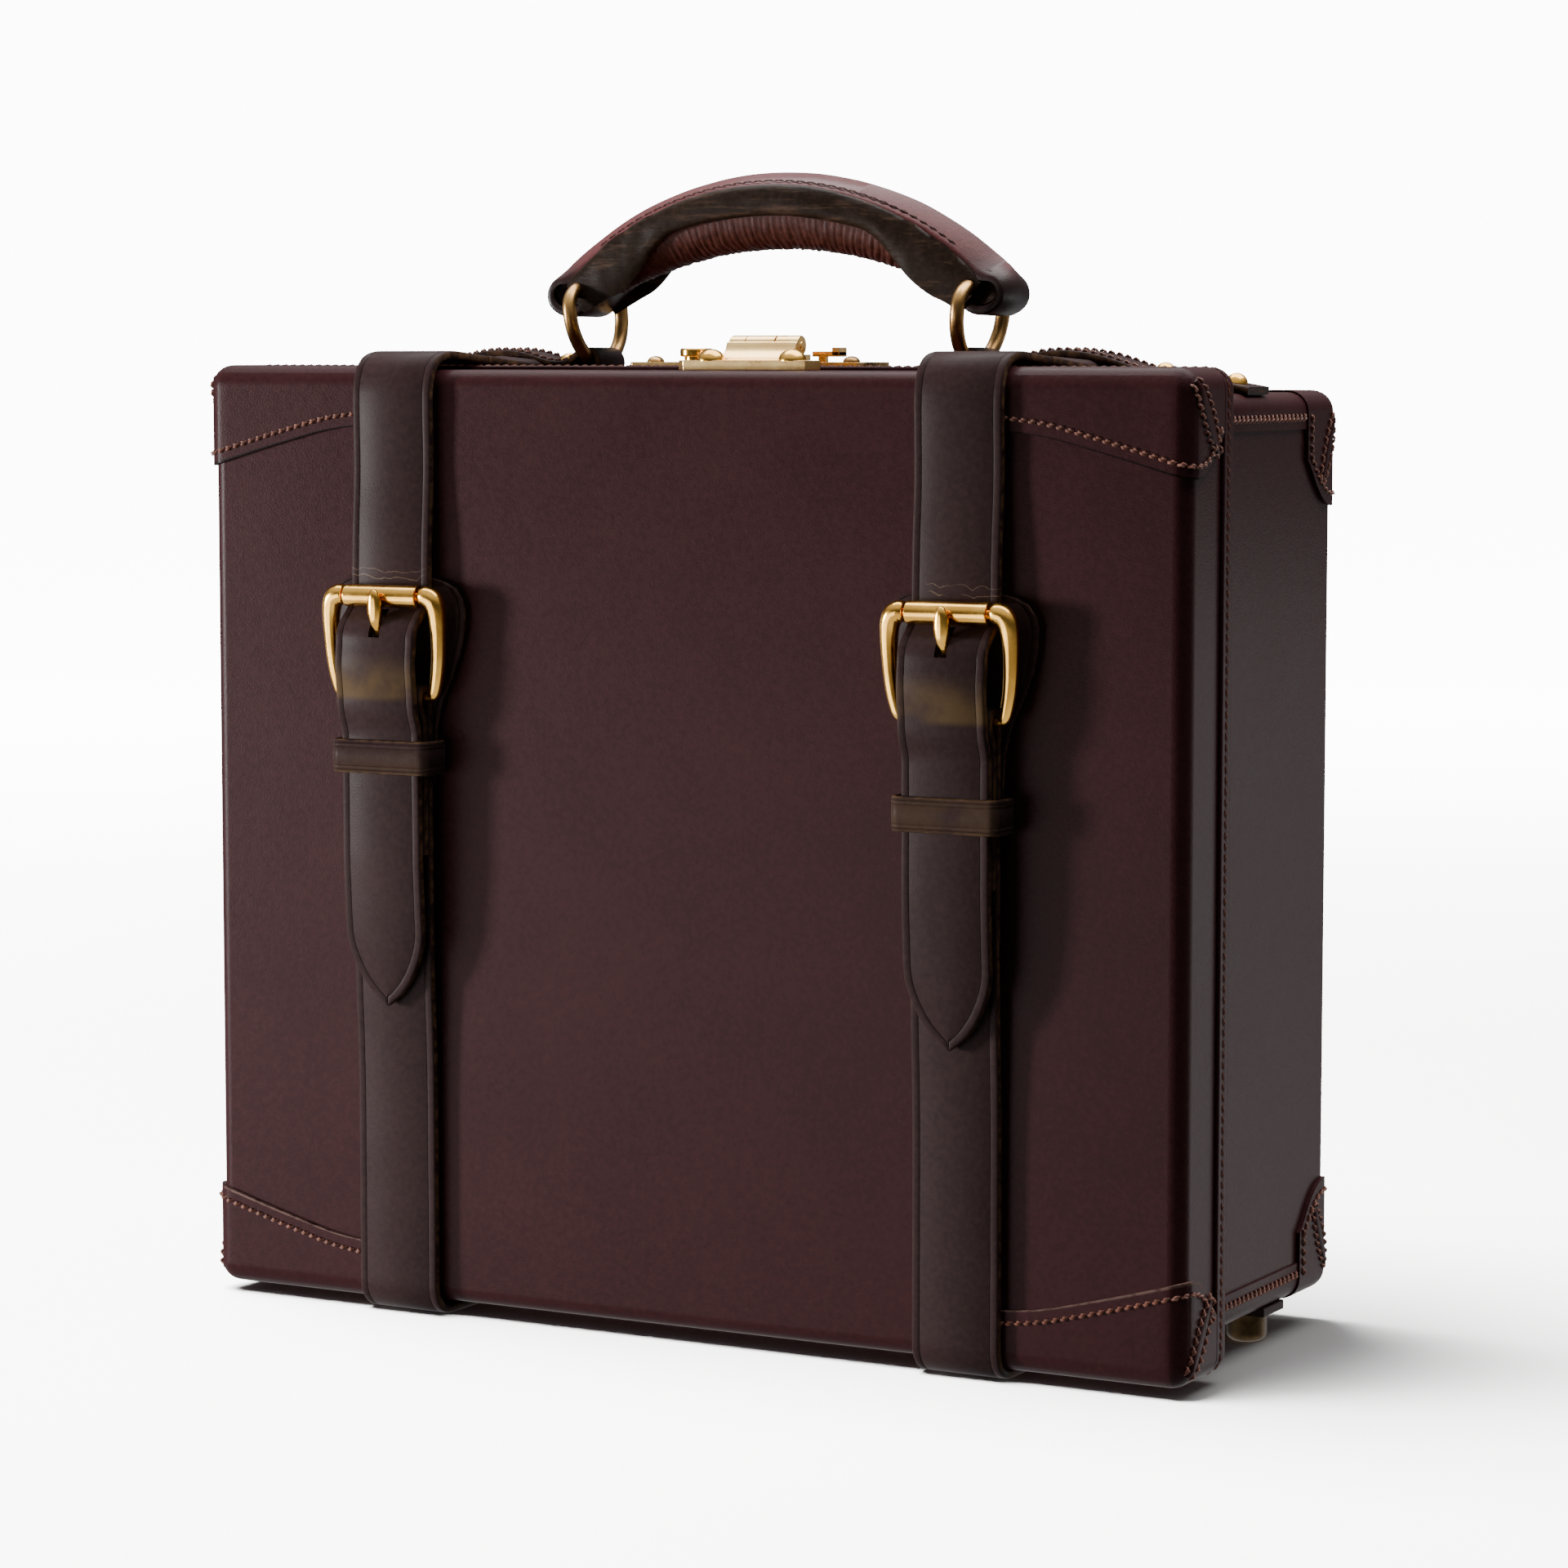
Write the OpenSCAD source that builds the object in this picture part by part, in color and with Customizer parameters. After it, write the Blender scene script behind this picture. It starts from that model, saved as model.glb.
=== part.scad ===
// Leather flight bag: a deep body and a framed lid, closed by two buckled straps and a hasp lock.
// Case frame: X to the viewer's right, Y from the lid's front face backwards, Z up from the lid's underside.
// The finished part stands on Z = 0, with its origin under the middle of its overall box.

/* [Case] */
// Width over the lid's side faces
case_w = 380; // [350:5:440]
// Height over the lid's top and bottom faces
case_h = 328.5; // [328.5:5:378.5]
// Depth from the lid's front face to the body's back face
case_d = 144; // [140:2:200]
// Depth of the lid from its front face to its rim
lid_d = 32; // [30:1:40]
// Thickness of the lid's wall of board and leather
lid_wall = 6; // [5:0.5:7]
// Thickness of the body's wall of board and leather
body_wall = 5; // [4:0.5:7]
// Clearance between the inside of the lid and the body's mouth
mouth_gap = 2.4; // [2.4:0.1:3.4]
// How far the body's mouth reaches into the lid
mouth_reach = 14; // [8:1:18]
// Radius of the rounded edges of the lid and the body
edge_r = 6; // [4:0.5:8]
// Thickness of the fabric lining
lining_t = 1.2; // [0.8:0.1:2]

/* [Leather trim] */
// Thickness of the stitched corner caps
cap_t = 1.5; // [1:0.1:2]
// Reach of a lid cap along the top or bottom edge
lid_cap_w = 72; // [60:1:76]
// Height of a lid cap at the case's corner
lid_cap_h = 34; // [28:1:44]
// Height of a lid cap at its inner end
lid_cap_end_h = 20; // [16:1:26]
// Reach of a body cap from the back face
body_cap_d = 27; // [20:1:34]
// Height of a body cap
body_cap_h = 38; // [30:1:46]
// Reach of a body cap across the back
body_cap_w = 42; // [34:1:50]
// Thickness of the rim binding
bind_t = 1.3; // [0.8:0.1:1.5]
// Width of the rim binding
bind_w = 7; // [5:0.5:9]

/* [Straps] */
// Width of a strap
strap_w = 32; // [28:1:34]
// Thickness of a strap
strap_t = 3; // [2.6:0.1:3.2]
// Distance of each strap from the middle of the case
strap_x = 110; // [106:1:114]
// Height of the billet's point above the lid's underside
billet_tip_z = 106; // [96:1:126]
// Clearance between layers of leather
layer_gap = 0.3; // [0.25:0.05:0.4]
// Thickness of the leather guard behind a buckle
safe_t = 1.4; // [1:0.1:1.8]
// Half the width of the guard at its widest
safe_half_w = 28.5; // [26:0.5:31]

/* [Buckles] */
// Height of the buckle's bar above the lid's underside
bar_z = 215; // [200:1:230]
// Radius of the buckle's bar
bar_r = 1.5; // [1.2:0.1:1.8]
// Distance from the bar up to the roller
buckle_h = 35; // [34:0.5:37]
// Half the width over the buckle's arms
buckle_half_w = 23.5; // [23:0.5:26]
// Radius of the buckle's arms at the top corners
arm_r = 2.7; // [2.3:0.1:3]
// Radius of the roller
roller_r = 3.5; // [3:0.1:4]
// Radius of the fixed rod inside the roller
rod_r = 1.8; // [1.4:0.1:2.2]
// Radius of the prong at its tip
prong_r = 1.5; // [1.2:0.1:1.8]
// Running clearance of turning metal parts
run_gap = 0.05; // [0.03:0.01:0.08]
// Thickness of a keeper's leather
keeper_t = 1.5; // [1.2:0.1:1.8]
// Height of a keeper
keeper_h = 12; // [9:0.5:13]
// Height of the left keeper's middle above the lid's underside
keeper_left_z = 194; // [180:1:195]
// Height of the right keeper's middle above the lid's underside
keeper_right_z = 184; // [176:1:190]

/* [Handle] */
// Distance of the handle's middle plane behind the lid's front face
handle_y = 79; // [76:1:84]
// Distance of each handle end's loop from the middle
handle_end_x = 85.5; // [82:0.5:88]
// Height of the end loops above the ring centres
handle_end_rise = 8.2; // [7.6:0.1:8.2]
// Rise of the handle's centre line from its ends to its apex
handle_bow = 27; // [22:0.5:32]
// Half the height of the grip at its apex
grip_half_h = 13.5; // [12:0.25:15]
// Half the width of the grip at its apex
grip_half_w = 13.5; // [12:0.25:15]
// Thickness of the handle's leather cover
cover_t = 3.2; // [2.4:0.1:3.6]
// Radius of a ring, to the middle of its wire
ring_r = 18; // [17.5:0.25:18]
// Radius of the ring's wire
wire_r = 2.3; // [1.9:0.1:2.5]
// Distance of each ring's centre from the middle
ring_x = 77; // [75:0.5:79]
// Outward lean of a ring in degrees
ring_lean = 6; // [0:1:8]
// Width of a handle strip
strip_w = 18; // [14:1:20]
// Thickness of a handle strip
strip_t = 3; // [2.4:0.1:3.4]
// Height of the packing that carries a handle strip
packing_h = 5; // [3:0.5:7]

/* [Lock] */
// Distance of the hasp from the middle of the case
hasp_x = 18; // [10:1:24]
// Length of the hasp plate
hasp_plate_w = 54; // [48:1:60]
// Thickness of the hasp plate
hasp_plate_t = 2.8; // [2:0.1:3.4]
// Radius of the hasp's hinge barrel
barrel_r = 3.4; // [3:0.1:3.8]
// Length of the hasp's hinge barrel
barrel_len = 27; // [24:1:32]
// Distance of the lock plate's middle from the middle of the case
lock_x = 8; // [4:1:12]
// Length of the lock plate
lock_plate_w = 92; // [86:1:100]
// Thickness of the lock plate
lock_plate_t = 1.5; // [1:0.1:2]
// Distance between the lock plate's rivets
lock_rivet_span = 77; // [72:1:80]

/* [Hinges and feet] */
// Distance of each hinge from the middle of the case
hinge_x = 45; // [40:1:60]
// Length of a hinge
hinge_len = 40; // [30:1:50]
// Thickness of a hinge leaf
leaf_t = 1.2; // [0.8:0.1:1.2]
// Radius of a hinge pin
pin_r = 1.5; // [1.2:0.1:1.8]
// Distance of the rear feet behind the lid's front face
foot_y = 100; // [92:1:112]
// Radius of a foot
foot_r = 7; // [6:0.5:8]

/* [Hidden] */

$fn = 48;
// Sides of small rounded corners that are blended by hulls
blend_fn = 24;
// Small overlap that joins two shapes of one piece
join = 0.05;

// Places of the case's faces
inset = lid_wall + mouth_gap;
body_half = case_w / 2 - inset;
body_top = case_h - inset;
body_bot = inset;
mouth_y = lid_d - mouth_reach;
rim_y = lid_d + bind_t;

// Straps: distance of the centre line from the lid's faces and from the body's faces
strap_lift = max(cap_t, bind_t) + layer_gap;
over_lid = strap_lift + strap_t / 2;
over_body = layer_gap + strap_t / 2;
floor_z = strap_lift + strap_t;
split_gap = 0.6;
layer_step = strap_t + layer_gap;
stack_y = layer_gap + keeper_t + layer_gap + safe_t + layer_gap;
function layer_y(i) = -(stack_y + strap_t / 2 + i * layer_step);

// Buckle: bar, fold of the chape, roller and prong
bar_room = 0.2;
bar_y = -(stack_y + strap_t + bar_room + bar_r);
fold_r = bar_r + bar_room + strap_t / 2;
bulge_y = bar_y - fold_r - layer_step;
roller_z = bar_z + buckle_h;
roller_y = layer_y(0) - strap_t / 2 - layer_gap - roller_r;
roller_half = 14.6;
prong_rest = 0.7;
prong_tip_y = roller_y - roller_r - prong_rest - prong_r;
prong_tip_z = roller_z + 1;
prong_base_r = 2.1;
prong_loop_r = bar_r + run_gap + 1.45;
prong_loop_w = 5;
prong_slot_room = 0.7;
prong_angle = atan2(bar_y - prong_tip_y, prong_tip_z - bar_z);
keeper_half = strap_w / 2 + 2.6;
keeper_round = 3;

// Handle: rings, chapes and the grip's arc
chape_r = wire_r + 0.4 + strip_t;
packing_z = body_top + packing_h;
wire_z = packing_z + chape_r;
ring_z = wire_z + ring_r * cos(ring_lean);
handle_end_z = ring_z + handle_end_rise;
handle_r = (handle_end_x * handle_end_x + handle_bow * handle_bow) / (2 * handle_bow);
handle_mid_z = handle_end_z + handle_bow - handle_r;
handle_angle = asin(handle_end_x / handle_r);
loop_half_w = 11;
loop_void_r = 6.7;
loop_r = loop_void_r + cover_t;
loop_back = 14;
wire_drift = ring_r * sin(ring_lean);

// Strip over the strap
rear_strap_drop = 1.1;
strip_y0 = handle_y - strip_w / 2;
hump_z = case_h + over_lid - rear_strap_drop + strap_t / 2 + layer_gap;
hump_in = strap_x - strap_w / 2 - layer_gap;
hump_out = strap_x + strap_w / 2 + layer_gap;
hump_wall = 1.8;
strip_end = body_half - 1;
chape_end = ring_x + 7;
dome_r = 3.8;
dome_h = 3.2;
dome_shank_r = 1.6;
shank_room = 0.05;
press_gap = 0.02;
dome_in = (chape_end + hump_in - hump_wall) / 2;
dome_mid = hump_out + 20.3;
dome_out = body_half - 9;
tail_start = dome_mid + 5;
tail_end = strip_end - 5;
tail_drop = packing_h - 1;
tail_slope = atan2(tail_drop, tail_end - tail_start);
foot_x = dome_out - 2;

// Lock
barrel_y = rim_y + 1;
barrel_z = case_h + bind_t + layer_gap + barrel_r + 3.4;
hasp_y0 = lid_d - bind_w - layer_gap - 16.2;
hasp_y1 = lid_d - bind_w - layer_gap;
hasp_pin_r = 1.3;
hasp_dome_r = 5;
hasp_dome_h = 4;
knuckle_gap = 0.15;
knuckle_1 = -barrel_len / 2 + 0.24 * barrel_len;
knuckle_2 = -barrel_len / 2 + 0.66 * barrel_len;
lock_y0 = rim_y + 2.4;
lock_y1 = lock_y0 + 21;
lock_top = case_h + 2.7;
lug_half = 4;
lug_y = barrel_y + 12.5;
lug_t = 7;
lug_room = 0.6;
bolt_r = 1.5;
bolt_room = 0.3;
bolt_z = lock_top - 4.6;
bolt_start = hasp_x + lug_half + 0.8;
post_x = hasp_x + barrel_len / 2 + 8;
post_w = 3;
slide_end = hasp_x + 26.5;
cover_x = lock_x - 22;
cover_r = 5.5;
cover_pin_r = 1.2;
cover_disc_t = 2.6;
cover_lift = 0.9;
rivet_shank_r = 1;
cover_y = lock_y0 + 6.2;

// Hinges
lid_leaf_l = 17;
body_leaf_l = 20;
knuckle_r = pin_r + 1.5;
hinge_y = rim_y + 0.4 + knuckle_r;
hinge_z = body_bot - 0.2 - knuckle_r;
rear_strap_y = hinge_y + sqrt(pow(rim_y - hinge_y, 2) + pow(hinge_z + floor_z, 2)) + 0.8;

// Overall reach in depth, which places the origin
front_reach = prong_tip_y - prong_r;
rear_reach = case_d + layer_gap + strap_t;
mid_y = (front_reach + rear_reach) / 2;

oxblood = [0.26, 0.14, 0.14];
strap_brown = [0.17, 0.13, 0.12];
brass_gold = [0.80, 0.62, 0.30];
brass_pale = [0.84, 0.70, 0.45];
lining_tan = [0.55, 0.42, 0.28];

// Moves a piece from the case frame to the part's own frame
module in_place() {
    translate([0, -mid_y, floor_z]) children();
}

// Points of an arc in a plane, from one angle to another
function arc(c, r, a0, a1, n) =
    [for (i = [0:n]) [c[0] + r * cos(a0 + (a1 - a0) * i / n), c[1] + r * sin(a0 + (a1 - a0) * i / n)]];

// Smooth curve through hand-placed points, with tangents weighted by the distances between them
function lerp(a, b, t) = a + (b - a) * t;
function tangent(p, i) =
    let (a = p[max(i - 1, 0)], b = p[i], c = p[min(i + 1, len(p) - 1)], d0 = norm(b - a), d1 = norm(c - b))
    d0 == 0 ? (c - b) / d1 : d1 == 0 ? (b - a) / d0 : ((b - a) * d1 / d0 + (c - b) * d0 / d1) / (d0 + d1);
function curve_point(b, c, mb, mc, t) =
    b * (2 * t - 3) * t * t + b + mb * ((t - 2) * t + 1) * t + c * (3 - 2 * t) * t * t + mc * (t - 1) * t * t;
function curve(p, n) =
    let (last = len(p) - 1)
    concat([for (i = [0:last - 1]) for (k = [0:n - 1]) let (d = norm(p[i + 1] - p[i]))
        curve_point(p[i], p[i + 1], tangent(p, i) * d, tangent(p, i + 1) * d, k / n)], [p[last]]);

// Path down a face through [depth, height] knots, easing from one depth to the next
function ease(t) = (1 - cos(180 * t)) / 2;
function eased(knots, n) = concat([for (i = [0:len(knots) - 2])
    let (a = knots[i], b = knots[i + 1], m = a[0] == b[0] ? 1 : n)
    each [for (k = [0:m - 1]) [lerp(a[0], b[0], ease(k / m)), lerp(a[1], b[1], k / m)]]],
    [knots[len(knots) - 1]]);

// Outline of a strip of leather that follows a path at a given thickness
function path_normal(p, i) =
    let (a = p[max(i - 1, 0)], b = p[min(i + 1, len(p) - 1)], d = (b - a) / norm(b - a))
    [-d[1], d[0]];
function strip_outline(p, t) = concat(
    [for (i = [0:len(p) - 1]) p[i] + path_normal(p, i) * t / 2],
    [for (i = [len(p) - 1:-1:0]) p[i] - path_normal(p, i) * t / 2]);

// Profile in Y and Z, drawn out along X by a width about x = 0
module across(w) {
    rotate([90, 0, 90]) linear_extrude(w, center = true) children();
}

// Profile in X and Z, drawn out along Y by a width about y = 0
module along_depth(w) {
    rotate([90, 0, 0]) linear_extrude(w, center = true) children();
}

// Rectangle with round corners, about its centre
module round_rect(w, h, r) {
    square([w - 2 * r, h], center = true);
    square([w, h - 2 * r], center = true);
    for (sx = [-1, 1], sy = [-1, 1]) translate([sx * (w / 2 - r), sy * (h / 2 - r)]) circle(r);
}

// Slot with round ends between two centres
module slot(a, b, r) {
    translate(a) circle(r);
    translate(b) circle(r);
    translate((a + b) / 2) rotate(atan2(b[1] - a[1], b[0] - a[0])) square([norm(b - a), 2 * r], center = true);
}

// Box with one rounded face and rounded edges, open at its other end in depth
module rounded_tray(w, h, y_round, y_open, r) {
    dir = sign(y_open - y_round);
    hull() for (sx = [-1, 1], sz = [-1, 1])
        translate([sx * (w / 2 - r), y_round + dir * r, sz * (h / 2 - r)]) rotate([-dir * 90, 0, 0]) {
            sphere(r, $fn = blend_fn);
            cylinder(h = abs(y_open - y_round) - r, r = r, $fn = blend_fn);
        }
}

// Solid through a row of cross-sections with equal numbers of points
module loft(rings) {
    n = len(rings[0]);
    m = len(rings);
    points = [for (ring = rings) each ring];
    sides = [for (j = [0:m - 2]) for (i = [0:n - 1])
        let (a = j * n + i, b = j * n + (i + 1) % n)
        each [[a, b, b + n], [a, b + n, a + n]]];
    ends = [[for (i = [n - 1:-1:0]) i], [for (i = [0:n - 1]) (m - 1) * n + i]];
    polyhedron(points, concat(sides, ends));
}

// Domed rivet head on a short shank, standing on z = 0
module dome(r, h, shank_r, shank_l) {
    ball = (r * r + h * h) / (2 * h);
    rotate_extrude() union() {
        intersection() {
            translate([0, h - ball]) circle(ball, $fn = 64);
            square([r, h]);
        }
        translate([0, -shank_l]) square([shank_r, shank_l + join]);
    }
}

// LID

module lid_shell() {
    color(oxblood) in_place() difference() {
        translate([0, 0, case_h / 2]) rounded_tray(case_w, case_h, 0, lid_d, edge_r);
        translate([-case_w / 2 + lid_wall, lid_wall, lid_wall])
            cube([case_w - 2 * lid_wall, lid_d, case_h - 2 * lid_wall]);
    }
}

module lid_lining() {
    color(lining_tan) in_place() translate([-case_w / 2 + lid_wall, lid_wall, lid_wall])
        cube([case_w - 2 * lid_wall, lining_t, case_h - 2 * lid_wall]);
}

module rim_binding() {
    w = case_w + 2 * bind_t;
    h = case_h + 2 * bind_t;
    color(oxblood) in_place() translate([0, 0, case_h / 2]) difference() {
        translate([0, rim_y - (bind_w + bind_t) / 2, 0])
            along_depth(bind_w + bind_t) round_rect(w, h, edge_r + bind_t);
        translate([0, lid_d - case_d / 2, 0]) along_depth(case_d) round_rect(case_w, case_h, edge_r);
        translate([0, lid_d, 0]) along_depth(case_d)
            square([case_w - 2 * lid_wall, case_h - 2 * lid_wall], center = true);
    }
}

// Front outline of a lid cap at the upper right corner, measured from that corner
module lid_cap_outline() {
    edge = curve([[cap_t + join, -lid_cap_h], [-0.35 * lid_cap_w, -lid_cap_h + 5],
        [-0.7 * lid_cap_w, -lid_cap_end_h - 2.5], [-lid_cap_w, -lid_cap_end_h]], 5);
    polygon(concat(edge, [[-lid_cap_w, cap_t + join], [cap_t + join, cap_t + join]]));
}

module lid_cap(side, up) {
    reach = lid_d - bind_w - layer_gap;
    color(oxblood) in_place() intersection() {
        translate([0, 0, case_h / 2]) difference() {
            rounded_tray(case_w + 2 * cap_t, case_h + 2 * cap_t, -cap_t, lid_d, edge_r + cap_t);
            rounded_tray(case_w, case_h, 0, lid_d + join, edge_r);
        }
        translate([side * case_w / 2, reach - case_d / 2, case_h / 2 + up * case_h / 2])
            along_depth(case_d) scale_flip(side, up) lid_cap_outline();
    }
}

// Mirrors an upper right outline to the corner on the given side
module scale_flip(side, up) {
    mirror([side < 0 ? 1 : 0, 0]) mirror([0, up < 0 ? 1 : 0]) children();
}

// BODY

module body_shell() {
    color(oxblood) in_place() difference() {
        translate([0, 0, case_h / 2])
            rounded_tray(2 * body_half, body_top - body_bot, case_d, mouth_y, edge_r);
        translate([-body_half + body_wall, mouth_y - join, body_bot + body_wall])
            cube([2 * (body_half - body_wall), case_d - mouth_y - body_wall + join,
                body_top - body_bot - 2 * body_wall]);
    }
}

module body_lining() {
    w = 2 * (body_half - body_wall);
    h = body_top - body_bot - 2 * body_wall;
    d = case_d - mouth_y - body_wall;
    color(lining_tan) in_place() translate([-w / 2, mouth_y, body_bot + body_wall]) difference() {
        cube([w, d, h]);
        translate([lining_t, -join, lining_t]) cube([w - 2 * lining_t, d - lining_t + join, h - 2 * lining_t]);
    }
}

// Side outline of a body cap at the upper rear corner, measured from that corner, in Y and Z
module body_cap_outline() {
    round_r = 0.35 * body_cap_d;
    far = cap_t + join;
    polygon(concat(arc([-body_cap_d + round_r, -body_cap_h + round_r], round_r, 180, 270, 8),
        [[far, -body_cap_h], [far, far], [-body_cap_d, far]]));
}

module body_cap(side, up) {
    color(oxblood) in_place() intersection() {
        translate([0, 0, case_h / 2]) difference() {
            rounded_tray(2 * (body_half + cap_t), body_top - body_bot + 2 * cap_t,
                case_d + cap_t, mouth_y, edge_r + cap_t);
            rounded_tray(2 * body_half, body_top - body_bot, case_d, mouth_y - join, edge_r);
        }
        translate([side * (body_half + cap_t - body_cap_w / 2), case_d, up > 0 ? body_top : body_bot])
            across(body_cap_w + join) scale_flip(1, up) body_cap_outline();
    }
}

// LID HINGES

// Knuckles of one leaf: every second fifth of the hinge's length
module hinge_knuckles(first, bore_r) {
    part = hinge_len / 5;
    for (i = [first:2:4]) translate([-hinge_len / 2 + i * part + knuckle_gap, hinge_y, hinge_z])
        rotate([0, 90, 0]) difference() {
            cylinder(h = part - 2 * knuckle_gap, r = knuckle_r);
            translate([0, 0, -1]) cylinder(h = part + 2, r = bore_r);
        }
}

// Leaf plate with a tongue into each of its own knuckles
module hinge_leaf(first, y0, y1, z0, bore_r) {
    part = hinge_len / 5;
    dir = sign(y1 - y0);
    near = hinge_y + dir * (knuckle_r + 0.4);
    difference() {
        union() {
            translate([-hinge_len / 2, min(near, y1), z0]) cube([hinge_len, abs(y1 - near), leaf_t]);
            for (i = [first:2:4])
                translate([-hinge_len / 2 + i * part + knuckle_gap, min(hinge_y, y1), z0])
                    cube([part - 2 * knuckle_gap, abs(y1 - hinge_y), leaf_t]);
        }
        translate([0, hinge_y, hinge_z]) rotate([0, 90, 0])
            cylinder(h = 2 * hinge_len, r = knuckle_r - join, center = true);
    }
    hinge_knuckles(first, bore_r);
}

module lid_hinge_leaves() {
    color(brass_gold) in_place() for (s = [-1, 1]) translate([s * hinge_x, 0, 0])
        hinge_leaf(1, hinge_y, hinge_y - lid_leaf_l, lid_wall, pin_r + run_gap);
}

module body_hinge_leaves() {
    color(brass_gold) in_place() for (s = [-1, 1]) translate([s * hinge_x, 0, 0])
        hinge_leaf(0, hinge_y, hinge_y + body_leaf_l, body_bot - leaf_t, pin_r + press_gap);
}

module hinge_pins() {
    color(brass_gold) in_place() for (s = [-1, 1]) translate([s * hinge_x, hinge_y, hinge_z])
        rotate([0, 90, 0]) cylinder(h = hinge_len + 1, r = pin_r, center = true);
}

// STRAPS

// Outline of the billet seen from the front, with its point at the bottom
module billet_outline() {
    half = strap_w / 2;
    point = curve([[-half, billet_tip_z + 32], [-half * 0.96, billet_tip_z + 22],
        [-half * 0.7, billet_tip_z + 11.5], [-half * 0.36, billet_tip_z + 4.2], [0, billet_tip_z]], 5);
    other = [for (i = [len(point) - 2:-1:0]) [-point[i][0], point[i][1]]];
    polygon(concat([[-half - 1, case_h + 20], [-half - 1, billet_tip_z + 32]], point, other,
        [[half + 1, billet_tip_z + 32], [half + 1, case_h + 20]]));
}

// Billet: over the lid's top edge, down behind the roller, out over the bar and down to its point
function billet_path() =
    let (lid_y = -over_lid, y0 = layer_y(0), y1 = layer_y(1), y2 = layer_y(2))
    concat([[rim_y, case_h + over_lid]],
        arc([edge_r, case_h - edge_r], edge_r + over_lid, 90, 180, 10),
        eased([[lid_y, roller_z + 50], [y0, roller_z + 6], [y0, roller_z - 1], [bulge_y, bar_z + 11],
            [bulge_y, bar_z - 2], [y2, bar_z - 13], [y2, bar_z - 57], [y1, bar_z - 70],
            [y1, billet_tip_z]], 10));

module strap_billet(side) {
    slot_w = 2 * (prong_base_r + prong_slot_room);
    slot_low = bar_z + 6;
    slot_top = bar_z + buckle_h - 7;
    color(strap_brown) in_place() translate([side * strap_x, 0, 0]) difference() {
        intersection() {
            across(strap_w) polygon(strip_outline(billet_path(), strap_t));
            along_depth(4 * lid_d) billet_outline();
        }
        translate([-slot_w / 2, bulge_y - strap_t, slot_low]) cube([slot_w, -bulge_y, slot_top - slot_low]);
    }
}

// Chape: under the lid, up its front, round the bar and down again under the billet
function chape_path() =
    let (lid_y = -over_lid, y0 = layer_y(0), y1 = layer_y(1))
    concat([[rim_y, -over_lid]],
        arc([edge_r, edge_r], edge_r + over_lid, 270, 180, 10),
        eased([[lid_y, edge_r + 20], [lid_y, bar_z - 145], [y0, bar_z - 75], [y0, bar_z - 20]], 12),
        arc([bar_y, bar_z], fold_r, 0, 180, 14),
        eased([[bar_y - fold_r, bar_z - 1], [y1, bar_z - 9], [y1, bar_z - 55]], 8));

module strap_chape(side) {
    slot_w = prong_loop_w + 1.4;
    color(strap_brown) in_place() translate([side * strap_x, 0, 0]) difference() {
        across(strap_w) polygon(strip_outline(chape_path(), strap_t));
        translate([-slot_w / 2, bar_y - fold_r - strap_t, bar_z - prong_loop_r - 3])
            cube([slot_w, 2 * (fold_r + strap_t), 2 * prong_loop_r + 6]);
    }
}

// Rear strap: from the lid's rim over the body, under the handle strip, down the back and under the body
function rear_path() =
    let (top = case_h + over_lid, top_end = body_top + over_body, back = case_d + over_body,
        low = body_bot - over_body, turn = edge_r + over_body)
    concat(curve([[rim_y + split_gap, top], [rim_y + 16, top - 0.1], [handle_y - 9, top - rear_strap_drop],
            [handle_y + 9, top - 2.5], [lerp(handle_y, case_d, 0.5), lerp(top, top_end, 0.5)],
            [case_d - edge_r - 9, top_end + 1.2]], 5),
        arc([case_d - edge_r, body_top - edge_r], turn, 90, 0, 10),
        arc([case_d - edge_r, body_bot + edge_r], turn, 0, -90, 10),
        [[rear_strap_y, low]]);

module strap_rear(side) {
    color(strap_brown) in_place() translate([side * strap_x, 0, 0])
        across(strap_w) polygon(strip_outline(rear_path(), strap_t));
}

// BUCKLES

module buckle_frame(side) {
    corner = arm_r + roller_half + 0.35;
    low_x = strap_w / 2 + 2.3;
    low_r = 1.8;
    wide = buckle_half_w - arm_r;
    // Each arm from the bar's end up to the roller's end: place across, share of the height, radius
    arm = [[low_x, 0, low_r], [wide + 0.4, 0.65, arm_r - 0.5], [wide - 0.6, 0.93, arm_r], [corner, 1, arm_r]];
    color(brass_gold) in_place() translate([side * strap_x, 0, 0]) {
        for (s = [-1, 1]) for (i = [0:len(arm) - 2]) hull() for (stop = [arm[i], arm[i + 1]])
            translate([s * stop[0], lerp(bar_y, roller_y, stop[1]), bar_z + stop[1] * buckle_h])
                sphere(stop[2], $fn = 16);
        translate([0, bar_y, bar_z]) rotate([0, 90, 0])
            cylinder(h = 2 * low_x, r = bar_r, center = true);
        translate([0, roller_y, roller_z]) rotate([0, 90, 0])
            cylinder(h = 2 * corner, r = rod_r, center = true);
    }
}

module buckle_roller(side) {
    color(brass_gold) in_place() translate([side * strap_x, roller_y, roller_z]) rotate([0, 90, 0])
    difference() {
        cylinder(h = 2 * roller_half, r = roller_r, center = true);
        cylinder(h = 2 * roller_half + 2, r = rod_r + run_gap, center = true);
    }
}

module buckle_prong(side) {
    reach = norm([prong_tip_y - bar_y, prong_tip_z - bar_z]);
    color(brass_gold) in_place() translate([side * strap_x, bar_y, bar_z]) difference() {
        union() {
            rotate([0, 90, 0]) cylinder(h = prong_loop_w, r = prong_loop_r, center = true);
            rotate([prong_angle, 0, 0]) {
                cylinder(h = reach, r1 = prong_base_r, r2 = prong_r);
                translate([0, 0, reach]) sphere(prong_r);
            }
        }
        rotate([0, 90, 0]) cylinder(h = prong_loop_w + 2, r = bar_r + run_gap, center = true);
    }
}

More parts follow.
